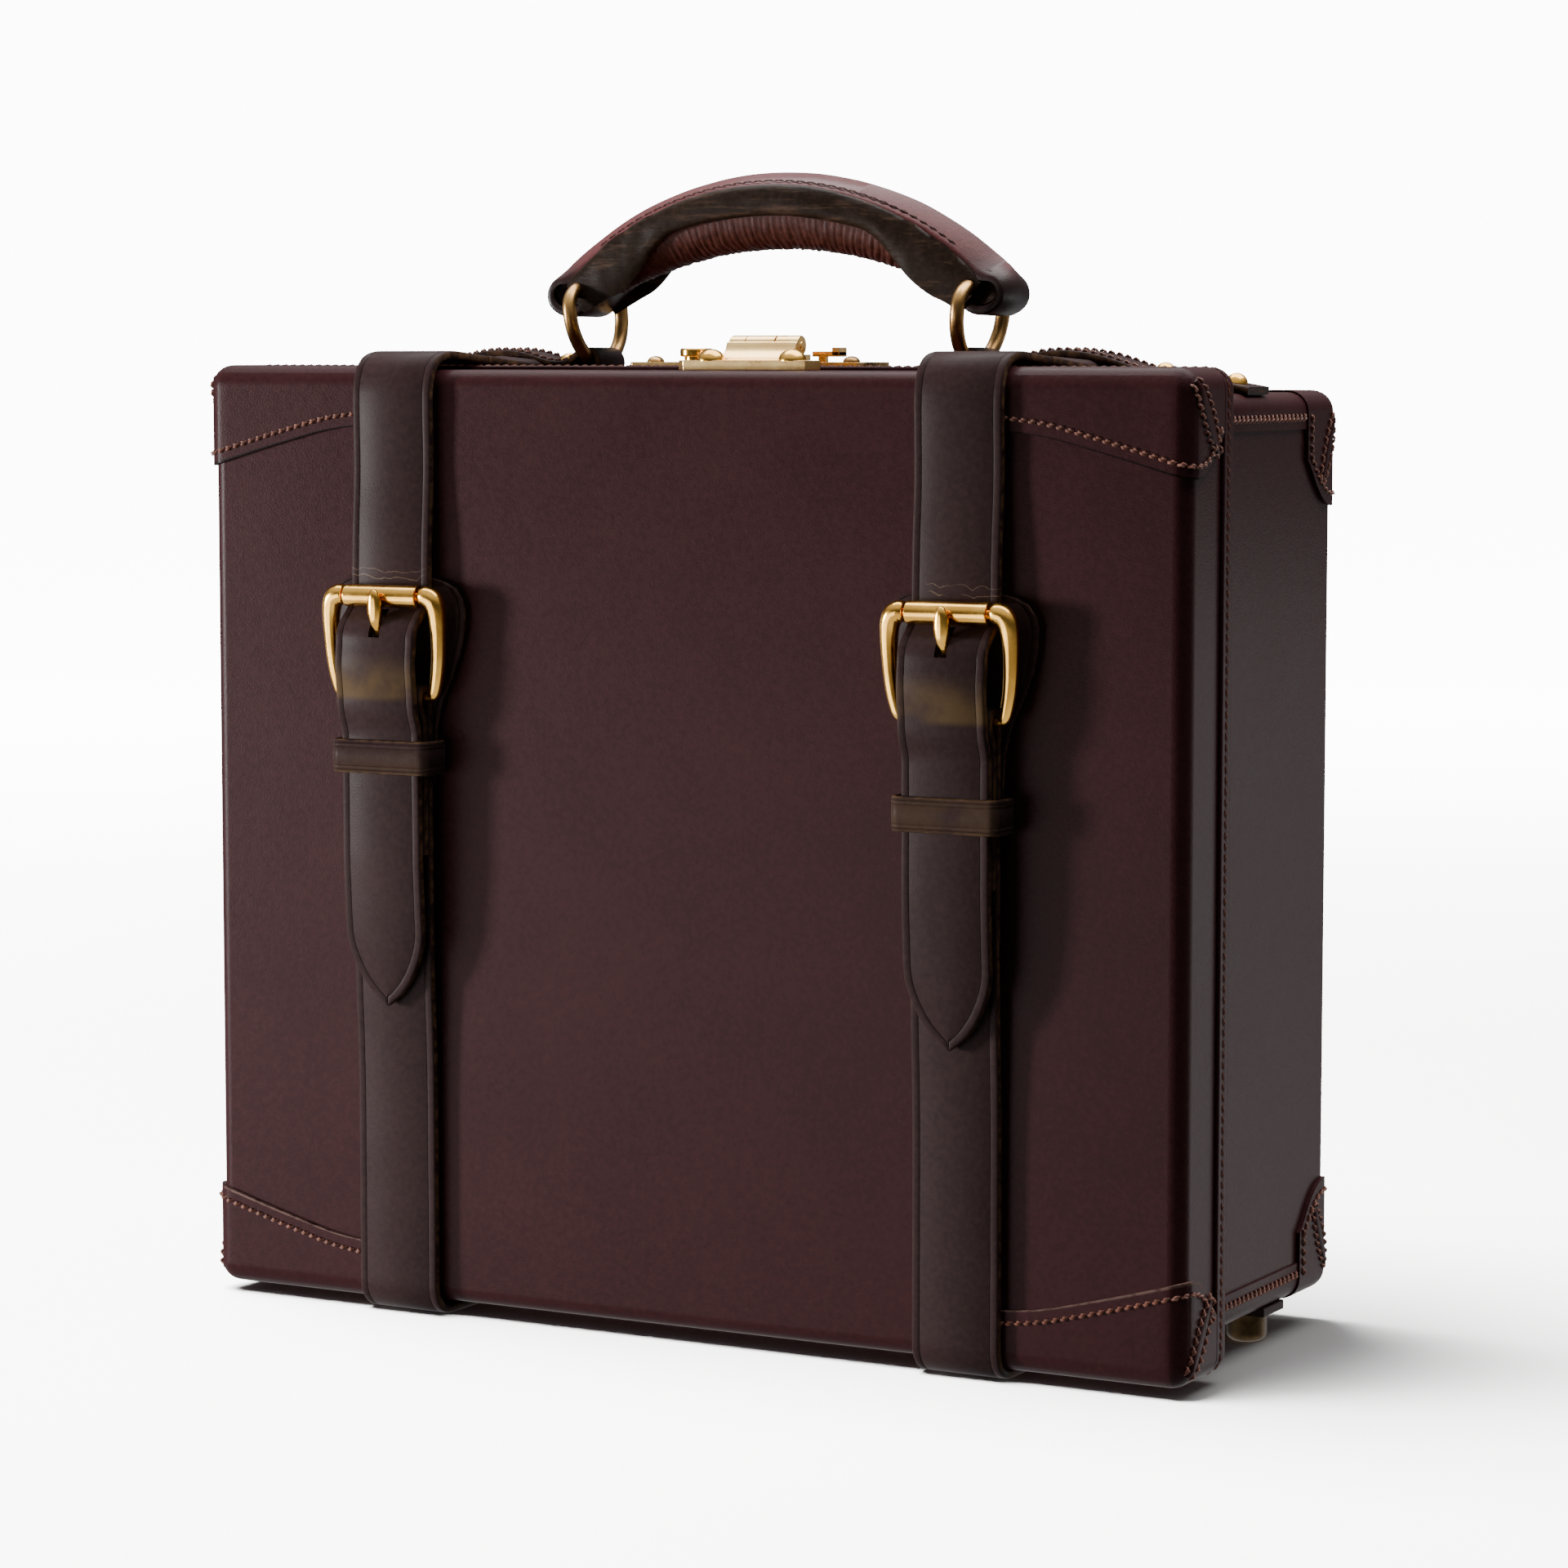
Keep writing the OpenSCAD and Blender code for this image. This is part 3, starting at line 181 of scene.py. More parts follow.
world = bpy.data.worlds.new("studio")
bpy.context.scene.world = world
world.use_nodes = True
world.node_tree.nodes.clear()
air = Shade(world.node_tree)
seen = air.node("LightPath", out="Is Camera Ray")
mirrored = air.node("LightPath", out="Is Glossy Ray")
height = air.node("TexCoord", out="Generated").along("Z")
room = (height * -1.0).rise(0.05, 0.6) * 1.1 + height.rise(0.15, 0.8) * 0.95 + 0.05
strength = seen * WHITE_GLOW + mirrored * room + 0.07
glow = air.node("Background", None, {"Color": (1, 1, 1, 1), "Strength": strength})
air.node("OutputWorld", None, {"Surface": glow})


# BODY
# The deep half of the case: board covered in polished oxblood leather, with rounded edges at its back
# and an open mouth that reaches into the lid.
CASE_HALF, CASE_HIGH, CASE_DEEP = 190.0, 328.5, 144.0
BODY_HALF, BODY_TOP, BODY_LOW, BODY_WALL = 181.6, 320.1, 8.4, 5.0
MOUTH_Y, EDGE_ROUND, EDGE_EASE = 18.0, 6.0, 0.6
MIDDLE_Y, LIFT_Z, SAME = 64.75, 4.8, 1e-6
OXBLOOD_DARK, OXBLOOD = (0.0285, 0.0087, 0.0098, 1), (0.0440, 0.0133, 0.0150, 1)


def at(x, y, z):
    """Place in the part's frame of millimetres from the lid's middle, front face and underside."""
    return Vector((x, y - MIDDLE_Y, z + LIFT_Z)) / 1000


def clear():
    """Back to object mode with nothing selected."""
    if bpy.context.object and bpy.context.object.mode != "OBJECT":
        bpy.ops.object.mode_set(mode="OBJECT")
    bpy.ops.object.select_all(action="DESELECT")


def only(piece):
    clear()
    piece.select_set(True)
    bpy.context.view_layer.objects.active = piece


def pick(piece, kind, test):
    """Selects the faces or edges whose corners pass the test, in edit mode."""
    bpy.ops.object.mode_set(mode="EDIT")
    bpy.ops.mesh.select_mode(type="FACE" if kind == "polygons" else "EDGE")
    bpy.ops.mesh.select_all(action="DESELECT")
    bpy.ops.object.mode_set(mode="OBJECT")
    points = piece.data.vertices
    for part in getattr(piece.data, kind):
        part.select = test([points[i].co for i in part.vertices])
    bpy.ops.object.mode_set(mode="EDIT")


def finish(piece, name, paint, body, nodes, angle=35):
    """Names, shades and colours a piece, ties it to its body and hides the solids that it stands for."""
    only(piece)
    piece.name = piece.data.name = name
    bpy.ops.object.shade_smooth_by_angle(angle=math.radians(angle))
    if angle <= 40:
        apply_modifier(piece, "WEIGHTED_NORMAL", keep_sharp=True)
    piece.data.materials.clear()
    piece.data.materials.append(paint)
    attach(piece, body)
    if nodes:
        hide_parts(*nodes)


def apply_modifier(piece, kind, **settings):
    only(piece)
    added = piece.modifiers.new(kind, kind)
    for key, value in settings.items():
        setattr(added, key, value)
    bpy.ops.object.modifier_apply(modifier=added.name)


def thicken(piece, thick):
    """Gives an open skin its thickness, inwards."""
    apply_modifier(piece, "SOLIDIFY", thickness=thick / 1000, offset=-1, use_even_offset=True)


def ease_edges(piece, ease, angle=30, steps=2):
    """Rounds off the edges that turn by more than an angle."""
    apply_modifier(piece, "BEVEL", width=ease / 1000, segments=steps, limit_method="ANGLE",
                   angle_limit=math.radians(angle))


def box(low, high):
    """A cube primitive between two corners."""
    clear()
    bpy.ops.mesh.primitive_cube_add(size=1, location=(low + high) / 2)
    piece = bpy.context.object
    piece.scale = high - low
    bpy.ops.object.transform_apply(location=True, rotation=True, scale=True)
    return piece


def leather(name, dark, light, rough, grain=1.0, extra=None, gloss=0.04, coat=0.02):
    """Polished leather: clouded colour, fine pores, soft wrinkles and a thin wax shine."""
    made, paint = material(name)
    place = paint.place()
    cloud, creep = paint.clouds(place, 16.0, 5.0, 0.6), paint.clouds(place, 190.0, 4.0, 0.65)
    fleck = paint.clouds(place, 520.0, 3.0)
    pores = paint.node("TexVoronoi", None, {"Vector": place, "Scale": 1500.0})
    colour = (cloud * 0.45 + fleck * 0.55).rise(0.25, 0.8).tint(dark, light)
    shine = rough + (cloud - 0.5) * 0.08 + (fleck - 0.5) * 0.12
    height = pores * 0.5 + creep * 0.8
    if extra:
        colour, shine, height = extra(paint, place, colour, shine, height)
    surface(paint, {"Base Color": colour, "Roughness": shine, "Normal": paint.bump(0.35 * grain, 0.00025, height),
                    "Coat Weight": coat, "Coat Roughness": 0.3, "Specular IOR Level": gloss})
    return made


case_leather = leather("case_leather", OXBLOOD_DARK, OXBLOOD, 0.37)


def open_box(low, high, y_open, round_by, steps):
    """A box without its face at y_open and with its other edges rounded."""
    piece = box(low, high)
    in_mouth = lambda corners: all(abs(p.y - y_open) < SAME for p in corners)
    pick(piece, "polygons", in_mouth)
    bpy.ops.mesh.delete(type="FACE")
    pick(piece, "edges", lambda corners: not in_mouth(corners))
    bpy.ops.mesh.bevel(offset=round_by / 1000, segments=steps, profile=0.5, affect="EDGES")
    bpy.ops.object.mode_set(mode="OBJECT")
    return piece


def tray(low, high, y_open, wall):
    """A leather-covered board tray: rounded edges round one face and down its sides, open opposite."""
    piece = open_box(low, high, y_open, EDGE_ROUND, 8)
    thicken(piece, wall)
    ease_edges(piece, EDGE_EASE, 50)
    return piece


body = tray(at(-BODY_HALF, MOUTH_Y, BODY_LOW), at(BODY_HALF, CASE_DEEP, BODY_TOP), at(0, MOUTH_Y, 0).y, BODY_WALL)
finish(body, "body_board", case_leather, "case", ["body_shell"])


# LININGS
# A woven cotton cloth glued inside the body and on the lid's board.
CLOTH_THICK, CLOTH_ROUND, CLOTH_BACK = 1.1, 2.5, 0.3
LID_WALL, LID_CLOTH_HALF, LID_CLOTH_THICK, LID_HEM = 6.0, 184.0, 1.2, 4.0


def cloth(name, dark, light):
    """Plain weave: threads over and under each other, about two to the millimetre."""
    made, paint = material(name)
    place = paint.place()
    threads = {"Vector": place, "Scale": 320.0}
    warp, weft = (paint.node("TexWave", {"bands_direction": axis}, threads) for axis in "XZ")
    weave = warp * weft
    colour = (weave * 0.5 + paint.clouds(place, 60.0, 4.0) * 0.6).rise(0.2, 0.9).tint(dark, light)
    surface(paint, {"Base Color": colour, "Roughness": 0.88, "Normal": paint.bump(0.5, 0.0002, weave)})
    return made


lining_cloth = cloth("lining_cloth", (0.17, 0.11, 0.06, 1), (0.31, 0.22, 0.13, 1))
wall_in, cloth_front = BODY_HALF - BODY_WALL, MOUTH_Y + CLOTH_BACK
cloth_low, cloth_top, cloth_end = BODY_LOW + BODY_WALL, BODY_TOP - BODY_WALL, CASE_DEEP - BODY_WALL
body_cloth = open_box(at(-wall_in, cloth_front, cloth_low), at(wall_in, cloth_end, cloth_top),
                      at(0, cloth_front, 0).y, CLOTH_ROUND, 3)
thicken(body_cloth, CLOTH_THICK)
finish(body_cloth, "body_cloth", lining_cloth, "case", ["body_lining"])
wide, high, deep = 2 * wall_in / 1000, (cloth_top - cloth_low) / 1000, (cloth_end - cloth_front) / 1000

lid_cloth = box(at(-LID_CLOTH_HALF, LID_WALL, LID_WALL),
                at(LID_CLOTH_HALF, LID_WALL + LID_CLOTH_THICK, CASE_HIGH - LID_WALL))
pick(lid_cloth, "polygons", lambda corners: True)
bpy.ops.mesh.inset(thickness=LID_HEM / 1000, depth=0)
bpy.ops.object.mode_set(mode="OBJECT")
ease_edges(lid_cloth, 0.4)
finish(lid_cloth, "lid_cloth", lining_cloth, "lid", ["lid_lining"])


# LID
# The shallow front half: a board tray in the same leather, with a leather binding folded over its rim
# and sewn through.
LID_DEEP = 32.0
lid = tray(at(-CASE_HALF, 0, 0), at(CASE_HALF, LID_DEEP, CASE_HIGH), at(0, LID_DEEP, 0).y, LID_WALL)
finish(lid, "lid_board", case_leather, "lid", ["lid_shell"])


def edit_all():
    """Edit mode with everything selected."""
    bpy.ops.object.mode_set(mode="EDIT")
    bpy.ops.mesh.select_all(action="SELECT")


def swept(around, along, place, edge=None):
    """A grid laid round a section and along a path: place(i, j) gives each point of it, edge(i, j) its mark."""
    clear()
    bpy.ops.mesh.primitive_grid_add(x_subdivisions=around, y_subdivisions=along, size=1)
    piece = bpy.context.object
    mark = piece.data.attributes.new("edge", "FLOAT", "POINT") if edge else None
    for point in piece.data.vertices:
        i, j = round((point.co.x + 0.5) * around), round((point.co.y + 0.5) * along)
        if mark:
            mark.data[point.index].value = edge(i, j)
        point.co = place(i, j)
    edit_all()
    bpy.ops.mesh.remove_doubles(threshold=2e-6)
    edit_all()
    bpy.ops.mesh.fill_holes(sides=0)
    edit_all()
    bpy.ops.mesh.normals_make_consistent(inside=False)
    bpy.ops.object.mode_set(mode="OBJECT")
    return piece


def round_frame(half_w, half_h, radius, step):
    """Points round a rectangle with round corners, each with its outward direction."""
    frame_points = []
    for corner in range(4):
        sx, sz = ((1, 1), (-1, 1), (-1, -1), (1, -1))[corner]
        for k in range(9):
            a = math.pi / 2 * (corner + k / 8)
            out = (math.cos(a), math.sin(a))
            frame_points.append((sx * (half_w - radius) + radius * out[0],
                                 sz * (half_h - radius) + radius * out[1], out))
        ax, az, out = frame_points[-1]
        run = 2 * (half_w - radius) if corner % 2 == 0 else 2 * (half_h - radius)
        steps = max(int(run / step), 1)
        for k in range(1, steps):
            move = run * k / steps
            frame_points.append((ax - out[1] * move, az + out[0] * move, out))
    return frame_points


BINDING = [(25.0, 0.02), (25.0, 0.8), (25.25, 1.2), (25.9, 1.3), (28.0, 1.3), (28.7, 1.08), (29.4, 1.3),
           (31.8, 1.3), (32.8, 1.0), (33.2, 0.4), (33.3, -0.6), (33.3, -5.3), (33.1, -5.8), (32.5, -5.95),
           (32.03, -5.95), (32.03, 0.02)]
rim = round_frame(CASE_HALF, CASE_HIGH / 2, EDGE_ROUND, 12)


def binding_point(i, j):
    y, out = BINDING[i % len(BINDING)]
    x, z, (ox, oz) = rim[j % len(rim)]
    return at(x + ox * out, y, z + CASE_HIGH / 2 + oz * out)


binding = swept(len(BINDING), len(rim), binding_point)
finish(binding, "rim_binding_leather", case_leather, "lid", ["rim_binding"], 60)


# THREAD
# Waxed copper-brown linen thread, two strands twisted, sewn about seven stitches to the inch.
TWIST, STRAND_OFF, STRAND_R, ARCH, SUNK = 5.2, 0.085, 0.1, 0.2, 0.08
STITCH_RINGS, STITCH_SIDES, STITCH_FILL = 7, 5, 0.98
RIM_SEAM_Y, RIM_SEAM_OUT = 28.7, 1.15
linen_thread, paint = material("linen_thread")
fuzz, dip = paint.clouds(paint.place(), 2600.0), paint.clouds(paint.place(), 70.0, 3.0)
brown = (fuzz * 0.6 + dip * 0.5).rise(0.3, 0.75).tint((0.065, 0.021, 0.012, 1), (0.225, 0.075, 0.042, 1))
surface(paint, {"Base Color": brown, "Roughness": 0.62, "Normal": paint.bump(0.4, 0.0001, fuzz)})


def one_stitch():
    """Points and faces of two twisted strands, one unit long, that arch out of their holes."""
    points, faces = [], []
    rings, sides = STITCH_RINGS, STITCH_SIDES
    for strand in (0, math.pi):
        start = len(points)
        for k in range(rings):
            t = k / (rings - 1)
            turn = strand + TWIST * t
            swell = math.sin(math.pi * min(max(t, 0.07), 0.93)) ** 0.5
            middle = Vector((t - 0.5, STRAND_OFF * math.cos(turn) * swell,
                             ARCH * math.sin(math.pi * t) - SUNK + STRAND_OFF * math.sin(turn) * swell))
            for j in range(sides):
                a = 2 * math.pi * j / sides
                points.append(middle + Vector((0, math.cos(a), math.sin(a))) * STRAND_R * swell)
        for k in range(rings - 1):
            for j in range(sides):
                a, b = start + k * sides + j, start + k * sides + (j + 1) % sides
                faces.append((a, b, b + sides, a + sides))
        faces.append(tuple(start + j for j in reversed(range(sides))))
        faces.append(tuple(start + (rings - 1) * sides + j for j in range(sides)))
    return points, faces


STITCH = one_stitch()


def sew(name, lines, body, pitch, slant, gauge, paint=linen_thread):
    """Lays stitches along lines of (point, outward direction) and joins them as one piece."""
    points, faces, turn = [], [], math.radians(slant)
    for line in lines:
        gone, due = 0.0, pitch / 2000
        for (a, up_a), (b, up_b) in zip(line, line[1:]):
            run = (b - a).length
            while due <= gone + run and run > 0:
                share = (due - gone) / run
                up = up_a.lerp(up_b, share).normalized()
                ahead = (b - a).normalized()
                side = up.cross(ahead)
                along = ahead * math.cos(turn) + side * math.sin(turn)
                side = side * math.cos(turn) - ahead * math.sin(turn)
                start, middle = len(points), a.lerp(b, share)
                for p in STITCH[0]:
                    long_way, round_way = along * p.x * pitch * STITCH_FILL, (side * p.y + up * p.z) * gauge
                    points.append(middle + (long_way + round_way) / 1000)
                faces += [tuple(start + i for i in face) for face in STITCH[1]]
                due += pitch / 1000
            gone += run
    clear()
    mesh = bpy.data.meshes.new(name)
    mesh.from_pydata(points, [], faces)
    piece = bpy.data.objects.new(name, mesh)
    bpy.context.scene.collection.objects.link(piece)
    finish(piece, name, paint, body, [], 60)


rim_line = [(at(x + ox * RIM_SEAM_OUT, RIM_SEAM_Y, z + CASE_HIGH / 2 + oz * RIM_SEAM_OUT), Vector((ox, 0, oz)))
            for x, z, (ox, oz) in rim]
sew("rim_stitches", [rim_line + rim_line[:1]], "lid", 3.6, 8, 2.4)


# CORNER CAPS
# Vegetable-tanned leather corners, wet-moulded over the lid's front corners and the body's rear ones.
# The spare leather on each side is cut away in a leaf-shaped dart and closed with stitches.
CAP_THICK, CAP_ROUND, CAP_TALL, CAP_SLICES = 1.5, 7.5, 42, 14
CAP_SEAM, SEAM_STEPS, DART_STEPS = 4.2, 60, 12
SIDES, ROWS = ((-1, "left"), (1, "right")), ((1, "top"), (-1, "bottom"))
LID_CAP_EDGE = [(0, 20), (22, 22.5), (47, 29), (62, 33.2), (70, 35.6), (77, 36.4), (83, 35.0), (89, 30.5),
                (93.5, 25), (96.5, 18)]
BODY_CAP_EDGE = [(0, 22), (4, 28), (10, 34.5), (16, 38.8), (21, 40), (27, 39.6), (33, 38), (45, 33), (57, 27),
                 (68.8, 20)]
DART_BOW = ((-1, 0.0), (-0.75, 0.55), (-0.3, 0.95), (0.1, 0.8), (0.5, 0.85), (0.85, 0.5), (1, 0.0), (0, -0.3))
FRONT_SEAM = (8, 14, 20, 24.5)


def cut_edge(paint, place, colour, shine, height):
    """The cut edge of a cap: pale, scuffed raw leather where it faces up, and a painted shadow, near black, where it
    faces down under the lip.
    """
    edge = paint.edge()
    pale = edge.rise(0.955, 0.985) * paint.clouds(place, 240.0, 4.0).rise(0.3, 0.55)
    # Painted shadow: the downward-facing cut edges are coloured near black as the shade under the cap's lip.
    dark = (edge * -1.0).rise(0.965, 0.985)
    colour = dark.tint(pale.tint(colour, (0.135, 0.080, 0.066, 1)), (0.006, 0.002, 0.002, 1))
    return colour, shine + pale * 0.15, height


cap_leather = leather("cap_leather", OXBLOOD_DARK, OXBLOOD, 0.38, 1.2, cut_edge)


def case_mm(point):
    """The millimetres of a place in the part's frame."""
    return point.x * 1000, point.y * 1000 + MIDDLE_Y, point.z * 1000 - LIFT_Z


def part_way(value, low, high):
    """0 at low, 1 at high and straight between them."""
    return min(max((value - low) / (high - low), 0), 1)


def smooth(share):
    return share * share * (3 - 2 * share)


def table(stops, t):
    """Value at t between given stops."""
    for (t0, v0), (t1, v1) in zip(stops, stops[1:]):
        if t <= t1:
            return v0 + (v1 - v0) * part_way(t, t0, t1)
    return stops[-1][1]


def smoothed(stops, n=60):
    """The same stops, rounded off by averaging along their length."""
    first, last = stops[0][0], stops[-1][0]
    row = [first + (last - first) * k / n for k in range(n + 1)]
    reach = (last - first) * 0.06
    return [(t, sum(table(stops, t + reach * d / 3) for d in range(-3, 4)) / 7) for t in row]


def corner_cap(name, node, body, side, up, first_end, cy, cx, second_end, top, stops, dart):
    """A cap round the right upper corner: flat on one face, round the upright edge, flat on the next.
    first_end and second_end are its reaches, cx and cy the middle of the round edge, and stops give its
    depth below the top along its cut edge. The dart runs between two places on the side."""
    front = body == "lid"
    stops = smoothed(stops)
    low_z = top - CAP_TALL
    if front:
        corner, far = at(cx + CAP_ROUND, cy - CAP_ROUND, top), at(first_end, second_end, low_z)
        low, high = Vector((far.x, corner.y, far.z)), Vector((corner.x, far.y, corner.z))
    else:
        corner, far = at(cx + CAP_ROUND, cy + CAP_ROUND, top), at(second_end, first_end, low_z)
        low, high = far.copy(), corner.copy()
    piece = box(low, high)
    near = lambda a, b: abs(a - b) < SAME
    pick(piece, "polygons", lambda c: any(all(near(p[k], far[k]) for p in c) for k in range(3)))
    bpy.ops.mesh.delete(type="FACE")
    pick(piece, "edges", lambda c: sum(all(near(p[k], corner[k]) for p in c) for k in range(3)) == 2)
    bpy.ops.mesh.bevel(offset=CAP_ROUND / 1000, segments=7, profile=0.5, affect="EDGES")
    for axis in (0, 1):
        for k in range(1, CAP_SLICES):
            middle, direction = Vector((0, 0, 0)), Vector((0, 0, 0))
            middle[axis] = low[axis] + (high[axis] - low[axis]) * k / CAP_SLICES
            direction[axis] = 1
            edit_all()
            bpy.ops.mesh.bisect(plane_co=middle, plane_no=direction)
    bpy.ops.object.mode_set(mode="OBJECT")
    run = (cx if front else cy) - first_end
    turn = CAP_ROUND * math.pi / 2

    def edge_place(t):
        """Place and outward direction at a distance along the cap's edge."""
        a = part_way(t, run, run + turn) * math.pi / 2
        before, after = min(t - run, 0), max(t - run - turn, 0)
        if front:
            out = (math.sin(a), -math.cos(a))
            return cx + before + CAP_ROUND * out[0], cy + after + CAP_ROUND * out[1], out
        out = (math.cos(a), math.sin(a))
        return cx - after + CAP_ROUND * out[0], cy + before + CAP_ROUND * out[1], out

    def edge_share(p):
        """Distance along the cap's edge of a place on it."""
        x, y, z = case_mm(p)
        ahead, beside = (x - cx, cy - y) if front else (y - cy, x - cx)
        if ahead <= 0:
            return run + ahead
        return run + CAP_ROUND * math.atan2(ahead, beside) if beside > 0 else run + turn - beside

    def flip(p):
        """The same place at the corner on the given side."""
        x, y, z = case_mm(p)
        return at(side * x, y, z if up > 0 else CASE_HIGH - z)

    cut = piece.data.attributes.new("edge", "FLOAT", "POINT")
    for point in piece.data.vertices:
        if near(point.co.z, low.z):
            point.co.z = at(0, 0, top - table(stops, edge_share(point.co))).z
            # On the lid caps: +1 on the lower caps' upward cut edge, pale raw leather, and -1 on the upper caps'
            # downward cut edge, painted shadow.
            cut.data[point.index].value = -up if front else 0
    thicken(piece, CAP_THICK - 0.06)
    ease_edges(piece, 0.4, 60)
    for point in piece.data.vertices:
        point.co = flip(point.co)
    if side * up < 0:
        edit_all()
        bpy.ops.mesh.flip_normals()
    finish(piece, name, cap_leather, body, [node], 40)

    def mark(x, y, z, out):
        return flip(at(x, y, z)), Vector((side * out[0], out[1], 0))

    def side_x(y, z):
        """Where the cap's side lies, which turns in towards the corner."""
        over_y = max(cy - y if front else y - cy, 0)
        over_z = max(z - top + CAP_ROUND, 0)
        return cx + math.sqrt(max(CAP_ROUND ** 2 - over_y ** 2 - over_z ** 2, 0))

    lines = [[]]
    for k in range(SEAM_STEPS + 1):
        t = 2 + (stops[-1][0] - 4.5) * k / SEAM_STEPS
        x, y, out = edge_place(t)
        lines[0].append(mark(x, y, top - table(stops, t) + CAP_SEAM, out))
    (y0, down0), (y1, down1), wide = dart
    leaf_points = []
    for k in range(DART_STEPS + 1):
        v = k / DART_STEPS
        swell = wide * math.sin(math.pi * min(0.08 + v * 0.92, 1)) ** 0.7
        leaf_points.append((y0 + (y1 - y0) * v, top - (down0 + (down1 - down0) * v), swell))
    span = math.hypot(y1 - y0, down1 - down0)
    ny, nz = (down1 - down0) / span, (y1 - y0) / span

    def leaf_point(i, j):
        y, z, half = leaf_points[j]
        across, rise = DART_BOW[i % len(DART_BOW)]
        y, z = y + ny * across * half, z + nz * across * half
        return flip(at(side_x(y, z) - 0.05 + rise * min(half, 1.2) * 0.8, y, z))

    leaf = swept(len(DART_BOW), DART_STEPS, leaf_point)
    finish(leaf, name + "_dart_1", cap_leather, body, [], 60)
    for s in (-1, 1):
        beside = [(y + s * ny * (half + 0.8), z + s * nz * (half + 0.8)) for y, z, half in leaf_points]
        lines.append([mark(side_x(y, z) + 0.1, y, z, (1, 0)) for y, z in beside])
    if not front:
        lines.append([mark(cx + CAP_ROUND + 0.1, first_end + 3, top - drop, (1, 0)) for drop in FRONT_SEAM])
    sew(name + "_stitches", lines, body, 3.4, 16, 4.8 if front else 3.8)


for up, row in ROWS:
    for side, hand in SIDES:
        corner = "_%s_%s" % (row, hand)
        corner_cap("lid_corner" + corner, "lid_cap" + corner, "lid", side, up, 118, EDGE_ROUND,
                   CASE_HALF - EDGE_ROUND, 24.7, CASE_HIGH + CAP_THICK, LID_CAP_EDGE,
                   ((3.4, 4.2), (20.6, 29.5), 3.0))
        corner_cap("body_corner" + corner, "body_cap" + corner, "case", side, up, 117, CASE_DEEP - EDGE_ROUND,
                   BODY_HALF - EDGE_ROUND, 139.6, BODY_TOP + CAP_THICK, BODY_CAP_EDGE,
                   ((140.5, 8), (128.5, 33), 2.4))


# STRAPS
# Bridle leather, black-brown and waxed, 32 mm wide: a crease line pressed along both edges and the
# edges burnished. The billet runs over the lid and through the buckle, the chape carries the buckle.
STRAP_X, STRAP_HALF, STRAP_THICK = 110.0, 16.0, 3.0
STRAP_DARK, STRAP_BROWN = (0.0262, 0.0150, 0.0148, 1), (0.0415, 0.0242, 0.0236, 1)
CRACKS = ((256.4, 0.00028), (259.0, 0.00016))


def bridle(paint, place, colour, shine, height):
    """Burnished tan edges, and painted shade darkening the crease lines near black, from the edge mark of each strap.
    """
    edge, scuff = paint.edge(), paint.clouds(place, 260.0, 4.0)
    raw = edge.rise(0.35, 0.95) * scuff.rise(0.25, 0.6)
    # Painted shade: the crease lines are coloured near black as the shade in their grooves.
    line = (edge * -1.0).rise(0.3, 0.9)
    tan = scuff.rise(0.3, 0.7).tint((0.040, 0.022, 0.013, 1), (0.115, 0.062, 0.034, 1))
    colour = line.tint(raw.tint(colour, tan), (0.006, 0.004, 0.004, 1))
    return colour, shine + raw * 0.12, height


def waxed(low, high, ahead, strong):
    """Bridle leather with a bloom of wax, between two heights, on what stands out ahead of the strap."""
    first, last, front = at(0, 0, low).z, at(0, 0, high).z, at(0, ahead, 0).y

    def bloomed(paint, place, colour, shine, height):
        colour, shine, height = bridle(paint, place, colour, shine, height)
        up, patch, wander = place.along("Z"), paint.clouds(place, 75.0, 3.0), paint.clouds(place, 160.0, 4.0)
        band = up.rise(first, first + 0.003) * (1.0 - up.rise(first + 0.006, last))
        near = 1.0 - place.along("Y").rise(front, front + 0.0015)
        bloom = band * near * patch.rise(0.22, 0.62) * (1.0 - (paint.edge() * -1.0).rise(0.3, 0.9))
        colour = (bloom * strong).tint(colour, (0.112, 0.069, 0.029, 1))
        for crack_z, wide in CRACKS:
            away = paint.sum("ABSOLUTE", up - at(0, 0, crack_z).z + (wander - 0.5) * 0.006, 0.0)
            crack = (1.0 - away.rise(wide * 0.4, wide)) * patch.rise(0.4, 0.5)
            colour = crack.tint(colour, (0.11, 0.075, 0.055, 1))
        return colour, shine + bloom * 0.1, height
    return bloomed


def strap_hide(name, extra, grain=0.7):
    return leather(name, STRAP_DARK, STRAP_BROWN, 0.40, grain, extra, 0.022, 0.011)


strap_leather = strap_hide("strap_leather", bridle)
billet_leather = strap_hide("billet_leather", waxed(213, 232, -14.9, 0.68))


def arc(cy, cz, radius, start, end, steps=14):
    """Points round part of a circle, between two angles in degrees."""
    turns = [math.radians(start + (end - start) * k / steps) for k in range(steps + 1)]
    return [(cy + radius * math.cos(a), cz + radius * math.sin(a)) for a in turns]


def eased(points, steps=16):
    """A path through points that leaves and reaches each of them straight along the strap."""
    path = []
    for (y0, z0), (y1, z1) in zip(points, points[1:]):
        for k in range(steps):
            t = k / steps
            path.append((y0 + (y1 - y0) * (1 - math.cos(math.pi * t)) / 2, z0 + (z1 - z0) * t))
    return path + [points[-1]]


